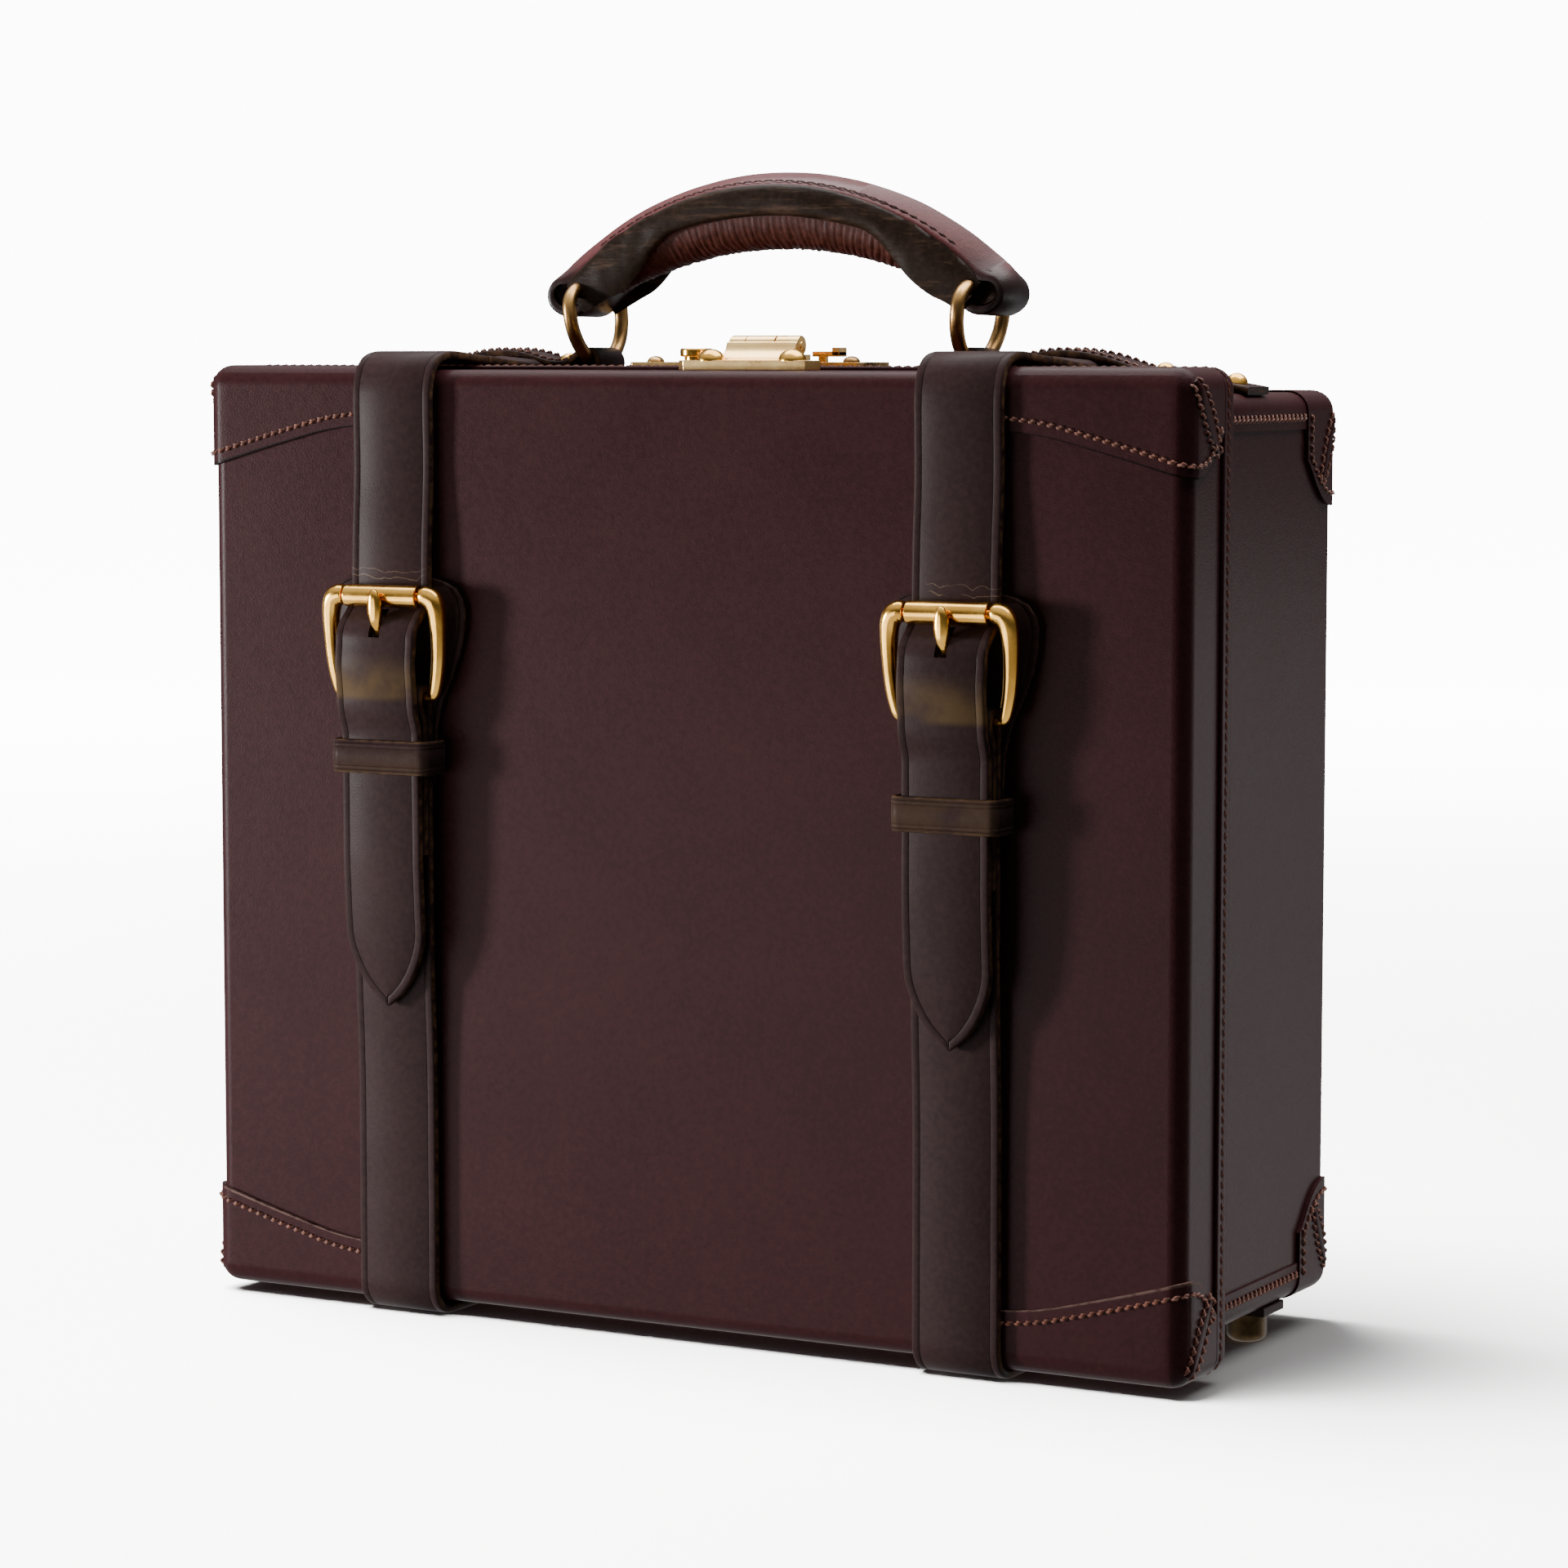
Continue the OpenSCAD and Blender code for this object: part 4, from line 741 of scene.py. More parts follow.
def walk(path, step):
    """Points a step apart along a path, each with its direction and its distance from the start."""
    runs = [math.dist(a, b) for a, b in zip(path, path[1:])]
    total = sum(runs)
    count = max(int(total / step), 2)
    rows, gone, k = [], 0.0, 0
    for n in range(count + 1):
        due = min(total * n / count, total - 1e-9)
        while gone + runs[k] < due:
            gone += runs[k]
            k += 1
        share = (due - gone) / runs[k]
        rows.append((path[k][0] + (path[k + 1][0] - path[k][0]) * share,
                     path[k][1] + (path[k + 1][1] - path[k][1]) * share, due))
    walked = []
    for n, (p, q, due) in enumerate(rows):
        a, b = rows[max(n - 1, 0)], rows[min(n + 1, count)]
        length = math.dist(a[:2], b[:2])
        walked.append((p, q, (b[0] - a[0]) / length, (b[1] - a[1]) / length, due))
    return walked


def strip_section(thick, creases, crown=0.0):
    """Half a strip's section from its middle to its edge, as (distance in from the edge, height, mark)."""
    top = thick / 2
    half = [(None, top + crown, 0)]
    shoulder = top + crown * 0.3
    for inward, depth, wide in creases:
        # The crease's bottom carries the mark -1, where shade is painted near black into the groove.
        half += [(inward + wide, shoulder, 0), (inward, shoulder - depth, -1), (inward - wide, shoulder, 0)]
    ease = min(0.5, 0.3 * thick)
    half += [(1.8 * ease, top - 0.06 * ease, 0), (0.7 * ease, top - 0.36 * ease, 0.3), (0.12 * ease, top - ease, 0.8),
             (0, 0, 1), (0.12 * ease, ease - top, 0.8), (0.7 * ease, 0.36 * ease - top, 0.3), (1.8 * ease, -top, 0),
             (None, -top, 0)]
    return half


def strip(path, half_width, section, place, step, sign, drift=0.0, lean=None):
    """A strip of leather along a path: half_width(distance, p, q) gives its half-width and its slope,
    lean(distance, p, q, share) how far it bows, and drift how uneven it lies."""
    rows = walk(path, step)
    ring = [(1, part) for part in section] + [(-1, part) for part in reversed(section[1:-1])]
    deepest = max(part[0] for part in section if part[0])

    def point(i, j):
        hand, (inward, height, mark) = ring[i % len(ring)]
        p, q, tp, tq, due = rows[j]
        half, slope = half_width(due, p, q)
        squeeze = min(half / (deepest * slope + 0.01), 1)
        across = 0.0 if inward is None else half - inward * slope * squeeze
        if lean:
            height += lean(due, p, q, across / max(half, 0.01))
        if drift:
            height += drift * noise.noise(Vector((due * 0.06, across * hand * 0.05, p * 0.03)))
        return place(hand * across, p + sign * tq * height, q - sign * tp * height)

    return swept(len(ring), len(rows) - 1, point, lambda i, j: ring[i % len(ring)][1][2])


BILLET = ([(33.3, 331.8), (29, 332.1), (24, 332.6), (18, 333.2), (13, 333.6), (9, 333.6), (5, 333.0), (1.6, 331.6),
           (-1.0, 329.2), (-2.7, 325.9), (-3.5, 321.5), (-3.7, 316), (-3.5, 308)]
          + eased([(-3.3, 300), (-5.0, 257), (-5.0, 250.5), (-15.5, 236), (-16.2, 226), (-15.2, 213), (-12.1, 201),
                   (-11.9, 158)])
          + [(-11.6, 150), (-11.0, 140), (-10.2, 129), (-9.3, 117), (-8.6, 106)])
CHAPE = ([(33.3, -3.3)] + arc(6, 6, 9.3, 270, 180) + eased([(-3.3, 26), (-3.3, 70), (-5.3, 140), (-5.3, 195)])
         + arc(-8.5, 215, 3.2, 0, 180, 16) + eased([(-11.7, 214), (-8.6, 206), (-8.6, 160)]))
REAR = ([(33.9, 331.8), (37, 331.7), (43, 331.1), (51, 330.3), (60, 329.4), (70, 328.6), (79, 328.3), (88, 328.0),
         (100, 327.3), (111.5, 326.2), (120, 325.0), (129, 323.1)]
        + arc(138, 314.1, 7.8, 90, 0) + arc(138, 14.4, 7.8, 0, -90) + [(48.06, 6.6)])
TIP = [(0, 0), (4.2, 0.36 * STRAP_HALF), (11.5, 0.70 * STRAP_HALF), (22, 0.96 * STRAP_HALF), (32, STRAP_HALF)]
BILLET_END, TIP_BLUNT, TIP_FRONT = 106.0, 0.25, -7
PRONG_HOLE, HOLE_FRONT_LOW, HOLE_BACK_LOW = ((-2.2, -18, 237.0), (2.2, -3.4, 245.5)), 239.0, 193.0
CHAPE_SLOT = ((-3.2, -16, 209), (3.2, 0, 221))
CREASES = ((3.0, 0.13, 0.26),)


def cut_away(piece, cutter):
    """Cuts one piece out of another and throws it away."""
    apply_modifier(piece, "BOOLEAN", object=cutter, operation="DIFFERENCE", solver="EXACT")
    bpy.data.objects.remove(cutter)


def billet_half(due, y, z):
    """Full width down to the point, which is drawn in along the tip's stops."""
    rise = z - BILLET_END
    if rise >= TIP[-1][0] or y > TIP_FRONT:
        return STRAP_HALF, 1.0
    k = next(n for n in range(4) if rise <= TIP[n + 1][0])
    (z0, w0), (z1, w1) = TIP[k], TIP[k + 1]
    grade = lambda a, b: (b[1] - a[1]) / (b[0] - a[0])
    s0 = grade(TIP[k], TIP[k + 1]) if k == 0 else grade(TIP[k - 1], TIP[k + 1])
    s1 = 0.0 if k == 3 else grade(TIP[k], TIP[k + 2])
    t, run = (rise - z0) / (z1 - z0), z1 - z0
    width = ((2 * t**3 - 3 * t**2 + 1) * w0 + (t**3 - 2 * t**2 + t) * run * s0
             + (3 * t**2 - 2 * t**3) * w1 + (t**3 - t**2) * run * s1)
    slope = s0 + (s1 - s0) * t
    return min(max(width, TIP_BLUNT), STRAP_HALF), math.hypot(1, slope)


def rear_bow(due, y, z, share):
    """The rear strap bows up across its width where the handle strip lies over it."""
    near = part_way(y, 50, 70) * part_way(y, 112, 90) if z > 300 else 0
    return 3.0 * (1 - share ** 4) * smooth(near)


def on_strap(side):
    """Gives places across, behind and above the middle of the strap on one side."""
    return lambda across, y, z: at(side * STRAP_X + across, y, z)


full = lambda due, y, z: (STRAP_HALF, 1.0)
section = strip_section(STRAP_THICK, CREASES, 0.03)
for side, hand in SIDES:
    place = on_strap(side)
    billet = strip(BILLET, billet_half, section, place, 1.6, 1, 0.16)
    hole = box(*(place(*corner) for corner in PRONG_HOLE))
    for point in hole.data.vertices:
        if point.co.z < at(0, 0, 240).z:
            point.co.z = at(0, 0, HOLE_FRONT_LOW if point.co.y < at(0, -10, 0).y else HOLE_BACK_LOW).z
    cut_away(billet, hole)
    finish(billet, "billet_" + hand, billet_leather, "lid", ["strap_billet_" + hand], 50)
    chape = strip(CHAPE, full, section, place, 1.6, -1, 0.12)
    cut_away(chape, box(*(place(*corner) for corner in CHAPE_SLOT)))
    finish(chape, "chape_" + hand, strap_leather, "lid", ["strap_chape_" + hand], 50)
    rear = strip(REAR, full, section, place, 2.4, -1, 0.12, rear_bow)
    finish(rear, "rear_strap_" + hand, strap_leather, "case", ["strap_rear_" + hand], 50)


# EDGE STRIPS
# A narrow strip of the case's own leather is folded over each long edge of the body, from behind the lid
# to the corner caps, and sewn down on the side.
EDGE_FROM, EDGE_TO, EDGE_SEAM_Y = 34.8, 117.4, (36.5, 60, 90, 116)
EDGE_MIDDLE, EDGE_HALF = (EDGE_FROM + EDGE_TO) / 2, (EDGE_TO - EDGE_FROM) / 2
EDGE_PATH = ([(182.05, 308.5), (182.05, 311), (182.05, 314.1)] + arc(175.6, 314.1, 6.45, 0, 90, 8)[1:]
             + [(172, 320.55), (167, 320.55)])
for side, hand in SIDES:
    for up, row in ROWS:
        def edge_place(across, x, z):
            return at(side * x, EDGE_MIDDLE + across, z if up > 0 else CASE_HIGH - z)

        edging = strip(EDGE_PATH, lambda due, x, z: (EDGE_HALF, 1.0), strip_section(0.9, ()), edge_place, 1.2, 1, 0.1)
        finish(edging, "edge_strip_%s_%s" % (row, hand), case_leather, "case", [], 50)
        seam = [(edge_place(y - EDGE_MIDDLE, 182.75, 312.4), Vector((side, 0, 0))) for y in EDGE_SEAM_Y]
        sew("edge_stitches_%s_%s" % (row, hand), [seam], "case", 3.6, 50, 3.8)


# BUCKLES
# Cast brass roller buckles, polished: a frame with swelled corners, a bar for the chape and the prong,
# a turning roller on the rod at the top. A leather guard sits behind and a keeper loop below.
def brass(name, dark, light, rough, wear):
    """Polished or satin brass with faint rubbing, fingerprints and darker places where dirt stays."""
    made, paint = material(name)
    place = paint.place()
    smear, rub = paint.clouds(place, 95.0, 5.0, 0.6), paint.clouds(place, 900.0)
    colour = smear.rise(0.3, 0.7).tint(dark, light)
    shine = rough + (smear - 0.5) * 0.16 + (rub - 0.5) * 0.1
    surface(paint, {"Base Color": colour, "Metallic": 1.0, "Roughness": shine,
                    "Normal": paint.bump(wear, 0.0001, rub + smear * 0.5)})
    return made


golden_brass = brass("golden_brass", (0.66, 0.34, 0.060, 1), (0.88, 0.50, 0.105, 1), 0.21, 0.06)
aged_brass = brass("aged_brass", (0.22, 0.115, 0.040, 1), (0.52, 0.30, 0.105, 1), 0.33, 0.1)
satin_brass = brass("satin_brass", (0.92, 0.58, 0.22, 1), (0.99, 0.69, 0.30, 1), 0.29, 0.12)


def tube(path, sides):
    """A bar along points (x, y, z, half-width, half-depth) in millimetres."""
    count = len(path) - 1

    def point(i, j):
        x, y, z, wide, deep = path[j]
        a, b = path[max(j - 1, 0)], path[min(j + 1, count)]
        along = Vector((b[0] - a[0], b[1] - a[1], b[2] - a[2])).normalized()
        across = along.cross(Vector((0, 1, 0))).normalized()
        over = across.cross(along)
        turn = 2 * math.pi * (i % sides) / sides
        return at(*(Vector((x, y, z)) + across * wide * math.cos(turn) + over * deep * math.sin(turn)))

    return swept(sides, count, point)


def lathe(profile, axis_place, turns=48):
    """A ring turned about a line across the bag: profile gives (x, radius) all round its section."""
    def point(i, j):
        x, radius = profile[i % len(profile)]
        a = 2 * math.pi * (j % turns) / turns
        return at(axis_place[0] + x, axis_place[1] + radius * math.cos(a), axis_place[2] + radius * math.sin(a))

    return swept(len(profile), turns, point)


def cross_bar(middle, place, half, radius):
    """A straight round bar across a buckle."""
    return tube([(middle + x, *place, radius, radius) for x in (-half, -8, 0, 8, half)], 16)


def joined(*pieces):
    """Several meshes as one piece."""
    clear()
    for piece in pieces:
        piece.select_set(True)
    bpy.context.view_layer.objects.active = pieces[0]
    bpy.ops.object.join()
    return pieces[0]


def spread(stops, steps):
    """Smooth points through given stops."""
    rows = []
    for k in range(len(stops) - 1):
        p0, p1, p2, p3 = stops[max(k - 1, 0)], stops[k], stops[k + 1], stops[min(k + 2, len(stops) - 1)]
        for n in range(steps):
            t = n / steps
            rows.append(tuple(0.5 * (2 * b + (c - a) * t + (2 * a - 5 * b + 4 * c - d) * t * t
                                     + (3 * b - a - 3 * c + d) * t ** 3) for a, b, c, d in zip(p0, p1, p2, p3)))
    return rows + [tuple(stops[-1])]


BAR, ROLL = (-8.5, 215.0), (-10.6, 250.0)
BAR_HALF, BAR_R, ROD_HALF, ROD_R = 18.4, 1.5, 17.6, 1.8
ARM = [(15.9, 35.2, 2.4), (16.3, 35.2, 3.3), (18.2, 35.2, 3.75), (20.2, 34.2, 3.75), (21.5, 31.8, 3.5),
       (22.1, 28, 3.15), (22.2, 22, 2.85), (21.9, 15, 2.65), (21.2, 9, 2.5), (20.3, 4.6, 2.35), (19.4, 1.6, 2.1),
       (18.2, 0.2, 1.6)]
ROLLER = [(-14.9, 1.95), (-14.9, 3.6), (-14.7, 3.9), (-14.3, 4.0), (-6, 4.0), (0, 4.0), (6, 4.0), (14.3, 4.0),
          (14.7, 3.9), (14.9, 3.6), (14.9, 1.95)]
PRONG = [(-10.4, 216.2, 1.5, 1.5), (-11.0, 220, 1.6, 1.5), (-11.8, 227, 1.6, 1.35), (-12.75, 233, 1.7, 1.35),
         (-13.6, 237.4, 1.9, 1.6), (-14.6, 240.2, 2.05, 2.1), (-15.5, 242.6, 2.5, 2.3), (-16.1, 245.4, 2.8, 2.0),
         (-16.4, 248.4, 2.6, 1.75), (-16.5, 250.6, 2.1, 1.6), (-16.5, 252.0, 1.4, 1.1), (-16.4, 252.6, 0.4, 0.4)]
PRONG_LOOP = [(-2.5, 1.56), (-2.5, 2.8), (-2.2, 3.0), (2.2, 3.0), (2.5, 2.8), (2.5, 1.56)]
SAFE = [(185, 16), (195, 16.4), (205, 17.2), (214, 19.6), (221, 23), (230, 26.7), (238, 28.5), (245, 28.9),
        (249, 28.0), (253, 25.0), (255.5, 20), (256.7, 12), (257, 9)]
SAFE_LINE = [(-2.8, 185), (-2.8, 257)]
KEEPER_LOW, KEEPER_TALL, KEEPER_Y = {"left": 188, "right": 178}, 12, -7.75
KEEPER_BAND = [(0.05, 0.1), (0.3, 1.25), (1.1, 1.5), (1.4, 1.15), (1.7, 1.5), (2.5, 1.52), (2.8, 1.25), (3.1, 1.52),
               (6, 1.56)]
keeper_leather = strap_hide("keeper_leather", waxed(174, 204, -14.0, 0.3), 0.8)
for side, hand in SIDES:
    middle = side * STRAP_X
    lean = (ROLL[0] - BAR[0]) / (ROLL[1] - BAR[1])
    pieces = []
    for s in (-1, 1):
        arm = [(middle + s * x, BAR[0] + lean * up, BAR[1] + up, r, r) for x, up, r in spread(ARM, 5)]
        pieces.append(tube(arm, 24))
    pieces += [cross_bar(middle, ROLL, ROD_HALF, ROD_R), cross_bar(middle, BAR, BAR_HALF, BAR_R)]
    finish(joined(*pieces), "buckle_bow_" + hand, golden_brass, "lid", ["buckle_frame_" + hand], 50)
    roller = lathe(ROLLER, (middle, *ROLL))
    finish(roller, "roller_tube_" + hand, golden_brass, "roller_" + hand, ["buckle_roller_" + hand],
           40)
    prong = tube([(middle, y, z, wide, deep) for y, z, wide, deep in spread(PRONG, 4)], 16)
    loop = lathe(PRONG_LOOP, (middle, *BAR), 28)
    finish(joined(prong, loop), "prong_pin_" + hand, golden_brass, "prong_" + hand, ["buckle_prong_" + hand],
           50)
    guard = strip(SAFE_LINE, lambda due, y, z: (table(SAFE, z), 1.0), strip_section(1.4, ((2.2, 0.25, 0.4),)),
                  on_strap(side), 1.0, -1)
    finish(guard, "buckle_guard_" + hand, strap_leather, "lid", ["buckle_safe_" + hand], 50)
    low, high = KEEPER_LOW[hand], KEEPER_LOW[hand] + KEEPER_TALL
    profile = [(low + z, out) for z, out in KEEPER_BAND] + [(high - z, out) for z, out in reversed(KEEPER_BAND[:-1])]
    rims = (0, 1, len(profile) - 2, len(profile) - 1)
    bow = round_frame(18.7, 6.05, 2.6, 4)

    def keeper_point(i, j):
        z, out = profile[i % len(profile)]
        x, y, (ox, oy) = bow[j % len(bow)]
        return at(middle + x + ox * out, KEEPER_Y + y + oy * out, z)

    keeper = swept(len(profile), len(bow), keeper_point, lambda i, j: 1.0 if i % len(profile) in rims else 0.0)
    finish(keeper, "keeper_loop_" + hand, keeper_leather, "keeper_" + hand, ["strap_keeper_" + hand],
           50)


# HANDLE
# A rolled leather handle: a crowned cover strip folded round the rings at both ends, a padded grip whose
# leather is ruched along its belly, and a thick waxed welt on each side where the two are sewn together.
HANDLE_Y, HANDLE_R, HANDLE_LOW, HANDLE_TURN = 79.0, 138.0, 245.9, math.radians(36.45)
HANDLE_FOLD, FOLD_HALF, GRIP_STEPS, WELT_STEPS, PLUG_SIDES, PLUG_R = 8.3, 11, 300, 110, 40, 6.1
END_X, END_Z = math.sin(HANDLE_TURN) * HANDLE_R, HANDLE_LOW + math.cos(HANDLE_TURN) * HANDLE_R


def tapered(middle, end):
    return lambda a: middle + (end - middle) * min((a / HANDLE_TURN) ** 2, 1)


half_high, half_deep = tapered(13.5, 8.9), tapered(13.5, 11.0)
cover_half, cover_crown = tapered(10.6, 9.8), tapered(5.0, 7.4)


def on_handle(a, y, out):
    """A place at an angle along the handle, so far back from its middle and out from its line."""
    reach = HANDLE_R + out
    return at(math.sin(a) * reach, HANDLE_Y + y, HANDLE_LOW + math.cos(a) * reach)


def handle_end(side):
    """Points of the fold round one ring, from the top of the handle to its underside."""
    tilt = math.degrees(HANDLE_TURN)
    turned = arc(END_X, END_Z, HANDLE_FOLD, 90 - tilt, -90 - tilt, 22)[1:]
    x, z = turned[-1]
    back = [(x - d * math.cos(HANDLE_TURN), z + d * math.sin(HANDLE_TURN)) for d in (3, 7, 11, 14)]
    return [(side * x, z) for x, z in turned + back]


def cover_line(a):
    reach = HANDLE_R + HANDLE_FOLD + 3.6 * (1 - (a / HANDLE_TURN) ** 2)
    return math.sin(a) * reach, HANDLE_LOW + math.cos(a) * reach


def cover_width(due, x, z):
    a = math.atan2(x, z - HANDLE_LOW)
    share = smooth(part_way(abs(a) / HANDLE_TURN, 0.86, 1.02))
    return cover_half(a) + (FOLD_HALF - cover_half(a)) * share, 1.0


def cover_lean(due, x, z, share):
    """The crown of the strip, which flattens out before the fold round each ring."""
    fade = smooth(part_way(min(due, COVER_RUN - due), 26, 48))
    return -cover_crown(math.atan2(x, z - HANDLE_LOW)) * share ** 2 * fade


COVER = (list(reversed(handle_end(-1))) + [cover_line(HANDLE_TURN * (k / 30 - 1)) for k in range(61)]
         + handle_end(1))
COVER_RUN = sum(math.dist(a, b) for a, b in zip(COVER, COVER[1:]))
handle_place = lambda across, x, z: at(x, HANDLE_Y + across, z)
cover = strip(COVER, cover_width, strip_section(3.2, (), 0.0), handle_place, 1.5, -1, 0.25, cover_lean)


def darker_low_ends(paint, place, colour, shine, height):
    """The cover strip darker below the height where it folds round the rings, along a ragged border."""
    ragged = paint.clouds(place, 120.0, 4.0)
    above_ends = (place.along("Z") + (ragged - 0.5) * 0.010).rise(at(0, 0, 357).z, at(0, 0, 374).z)
    return above_ends.tint((0.021, 0.0105, 0.0100, 1), colour), shine, height


handle_leather = leather("handle_leather", (0.088, 0.0205, 0.0220, 1), (0.165, 0.042, 0.043, 1), 0.36, 1.0,
                         darker_low_ends, 0.13)
finish(cover, "handle_strap", handle_leather, "handle", ["handle_cover"], 50)

BELLY = 26
GRIP_TURN = 0.85 * HANDLE_TURN


def grip_point(i, j):
    """Round the grip: under the cover first, then the ruched belly, then one corner."""
    a = -GRIP_TURN + 2 * GRIP_TURN * j / GRIP_STEPS
    c = cover_half(a) - 0.3
    i = i % (BELLY + 6)
    if i < 5:
        k = -1 + i / 2
        return on_handle(a, k * c, half_high(a) - cover_crown(a) * k * k - 3.3)
    if i > 5 + BELLY - 1:
        return on_handle(a, -c, -1.3)
    t = math.pi * (i - 5) / (BELLY - 1)
    along = a * HANDLE_R
    wander = noise.noise(Vector((along * 0.045, t * 0.9, 4.0)))
    fold = abs(math.sin(along * math.pi / 2.5 + 4.0 * wander)) ** 0.6 - 0.6
    fine = abs(math.sin(along * math.pi / 1.5 + 7.0 * wander + t)) - 0.5
    rough = noise.noise(Vector((along * 0.4, t * 2.5, 9.0)))
    lump = (0.62 * fold + 0.26 * fine + 0.45 * rough) * min(math.sin(t) * 1.5, 1)
    y, out = math.cos(t) * (half_deep(a) - 2.6), -0.6 - math.sin(t) * (half_high(a) - 0.9)
    return on_handle(a, y + math.cos(t) * lump, out - math.sin(t) * lump)


belly_leather = leather("belly_leather", (0.026, 0.0072, 0.0060, 1), (0.085, 0.024, 0.018, 1), 0.5, 1.3, None, 0.1)
grip = swept(BELLY + 6, GRIP_STEPS, grip_point)
finish(grip, "handle_belly", belly_leather, "handle", ["handle_grip"], 70)

WELT = ((0.0, 0.0), (0.0, 0.55), (0.0, 1.0), (0.25, 1.02), (0.55, 0.93), (0.82, 0.76), (0.98, 0.52), (0.97, 0.28),
        (0.84, 0.06), (0.5, -0.05))
WELT_TURN = 0.995 * HANDLE_TURN


def drawn(paint, place, colour, shine, height):
    """Streaks along the handle where the waxed leather was drawn tight and rubbed."""
    long_way = paint.node("Mapping", None, {"Vector": place, "Scale": (0.1, 1.0, 1.0)})
    streak = paint.clouds(long_way, 420.0, 5.0, 0.65)
    colour = streak.rise(0.5, 0.72).tint(colour, (0.062, 0.036, 0.024, 1))
    return colour, shine + (streak - 0.5) * 0.2, height * 0.4 + streak * 2.2


welt_leather = leather("welt_leather", (0.0110, 0.0066, 0.0048, 1), (0.030, 0.0175, 0.0120, 1), 0.42, 1.8, drawn)
for face, side_name in ((-1, "front"), (1, "back")):
    def welt_point(i, j):
        a = -WELT_TURN + 2 * WELT_TURN * j / WELT_STEPS
        out_share, up_share = WELT[i % len(WELT)]
        y0, y1 = cover_half(a) + 0.15, half_deep(a) + 0.8
        flare = smooth(part_way(abs(a) / HANDLE_TURN, 0.42, 0.82))
        low, top = -1.4 - (half_high(a) + 0.2) * flare, half_high(a) - cover_crown(a) + 0.3
        along = a * HANDLE_R
        lump = (0.5 + 1.1 * flare) * noise.noise(Vector((along * 0.05, up_share * (2.2 + 4 * flare), 20.0 + face)))
        lump += (0.25 + 0.5 * flare) * noise.noise(Vector((along * 0.16, up_share * (3.0 + 6 * flare), 30.0 + face)))
        y = y0 + (y1 - y0) * out_share + lump * out_share
        return on_handle(a, face * y, low + (top - low) * up_share + lump * 0.5)

    welt = swept(len(WELT), WELT_STEPS, welt_point)
    finish(welt, "handle_welt_%s_roll" % side_name, welt_leather, "handle", ["handle_welt_" + side_name],
           70)

PLUG_ROWS = ((-7.4, 0.15), (-7.8, 0.5), (-8.6, 0.8), (-8.9, 0.97), (-8, 1.03), (0, 1.03), (8, 1.03), (8.9, 0.97),
             (8.6, 0.8), (7.8, 0.5), (7.4, 0.15))
for side, hand in SIDES:
    def plug_point(i, j):
        y, share = PLUG_ROWS[j]
        t = 2 * math.pi * (i % PLUG_SIDES) / PLUG_SIDES
        along, up = PLUG_R * math.cos(t) * share, PLUG_R * math.sin(t) * share
        x = END_X + along * math.cos(HANDLE_TURN) + up * math.sin(HANDLE_TURN)
        z = END_Z - along * math.sin(HANDLE_TURN) + up * math.cos(HANDLE_TURN)
        return at(side * x, HANDLE_Y + y, z)

    plug = swept(PLUG_SIDES, len(PLUG_ROWS) - 1, plug_point)
    finish(plug, "handle_end_" + hand, welt_leather, "handle", [], 60)
seams = []
for face in (-1, 1):
    line = []
    for k in range(81):
        a = HANDLE_TURN * 0.8 * (k / 40 - 1)
        share = 1 - 2.0 / cover_half(a)
        start = on_handle(a, 0, 0)
        up = (on_handle(a, 0, 1) - start).normalized()
        tilt = 2 * cover_crown(a) * share / cover_half(a)
        line.append((on_handle(a, face * share * cover_half(a), half_high(a) - cover_crown(a) * share ** 2 + 0.02),
                     (up + Vector((0, face * tilt, 0))).normalized()))
    seams.append(line)
dark_thread, paint = material("dark_thread")
fuzz = paint.clouds(paint.place(), 2200.0).rise(0.3, 0.7)
surface(paint, {"Base Color": fuzz.tint((0.03, 0.008, 0.007, 1), (0.10, 0.03, 0.022, 1)), "Roughness": 0.55})
sew("handle_stitches", seams, "handle", 4.2, 4, 2.4, dark_thread)

RING_X, RING_Z, RING_R, RING_WIRE, RING_LEAN = 77.0, 348.70, 18.0, 2.5, math.radians(6)
RING_SIDES, RING_STEPS, RING_FLAT, RING_SQUARE = 18, 72, 0.53, 2.6
for side, hand in SIDES:
    def ring_point(i, j):
        """Round the wire and round the ring, whose upper half is flattened."""
        around, turn = 2 * math.pi * (i % RING_SIDES) / RING_SIDES, 2 * math.pi * (j % RING_STEPS) / RING_STEPS
        wire, off = RING_WIRE * math.cos(around), RING_WIRE * math.sin(around)
        back, rise = math.cos(turn), math.sin(turn)
        y, up = (RING_R + wire) * back, (RING_R + wire) * rise
        if up > 0:
            steep = rise / RING_FLAT
            reach = RING_R * (abs(back) ** RING_SQUARE + steep ** RING_SQUARE) ** (-1 / RING_SQUARE)
            slope = math.hypot(back, steep)
            y, up = reach * back + wire * back / slope, reach * rise + wire * steep / slope
        x = off * math.cos(RING_LEAN) + up * math.sin(RING_LEAN)
        z = up * math.cos(RING_LEAN) - off * math.sin(RING_LEAN)
        return at(side * (RING_X + x), HANDLE_Y + y, RING_Z + z)

    ring = swept(RING_SIDES, RING_STEPS, ring_point)
    finish(ring, "ring_" + hand, aged_brass, "handle", ["handle_ring_" + hand], 60)


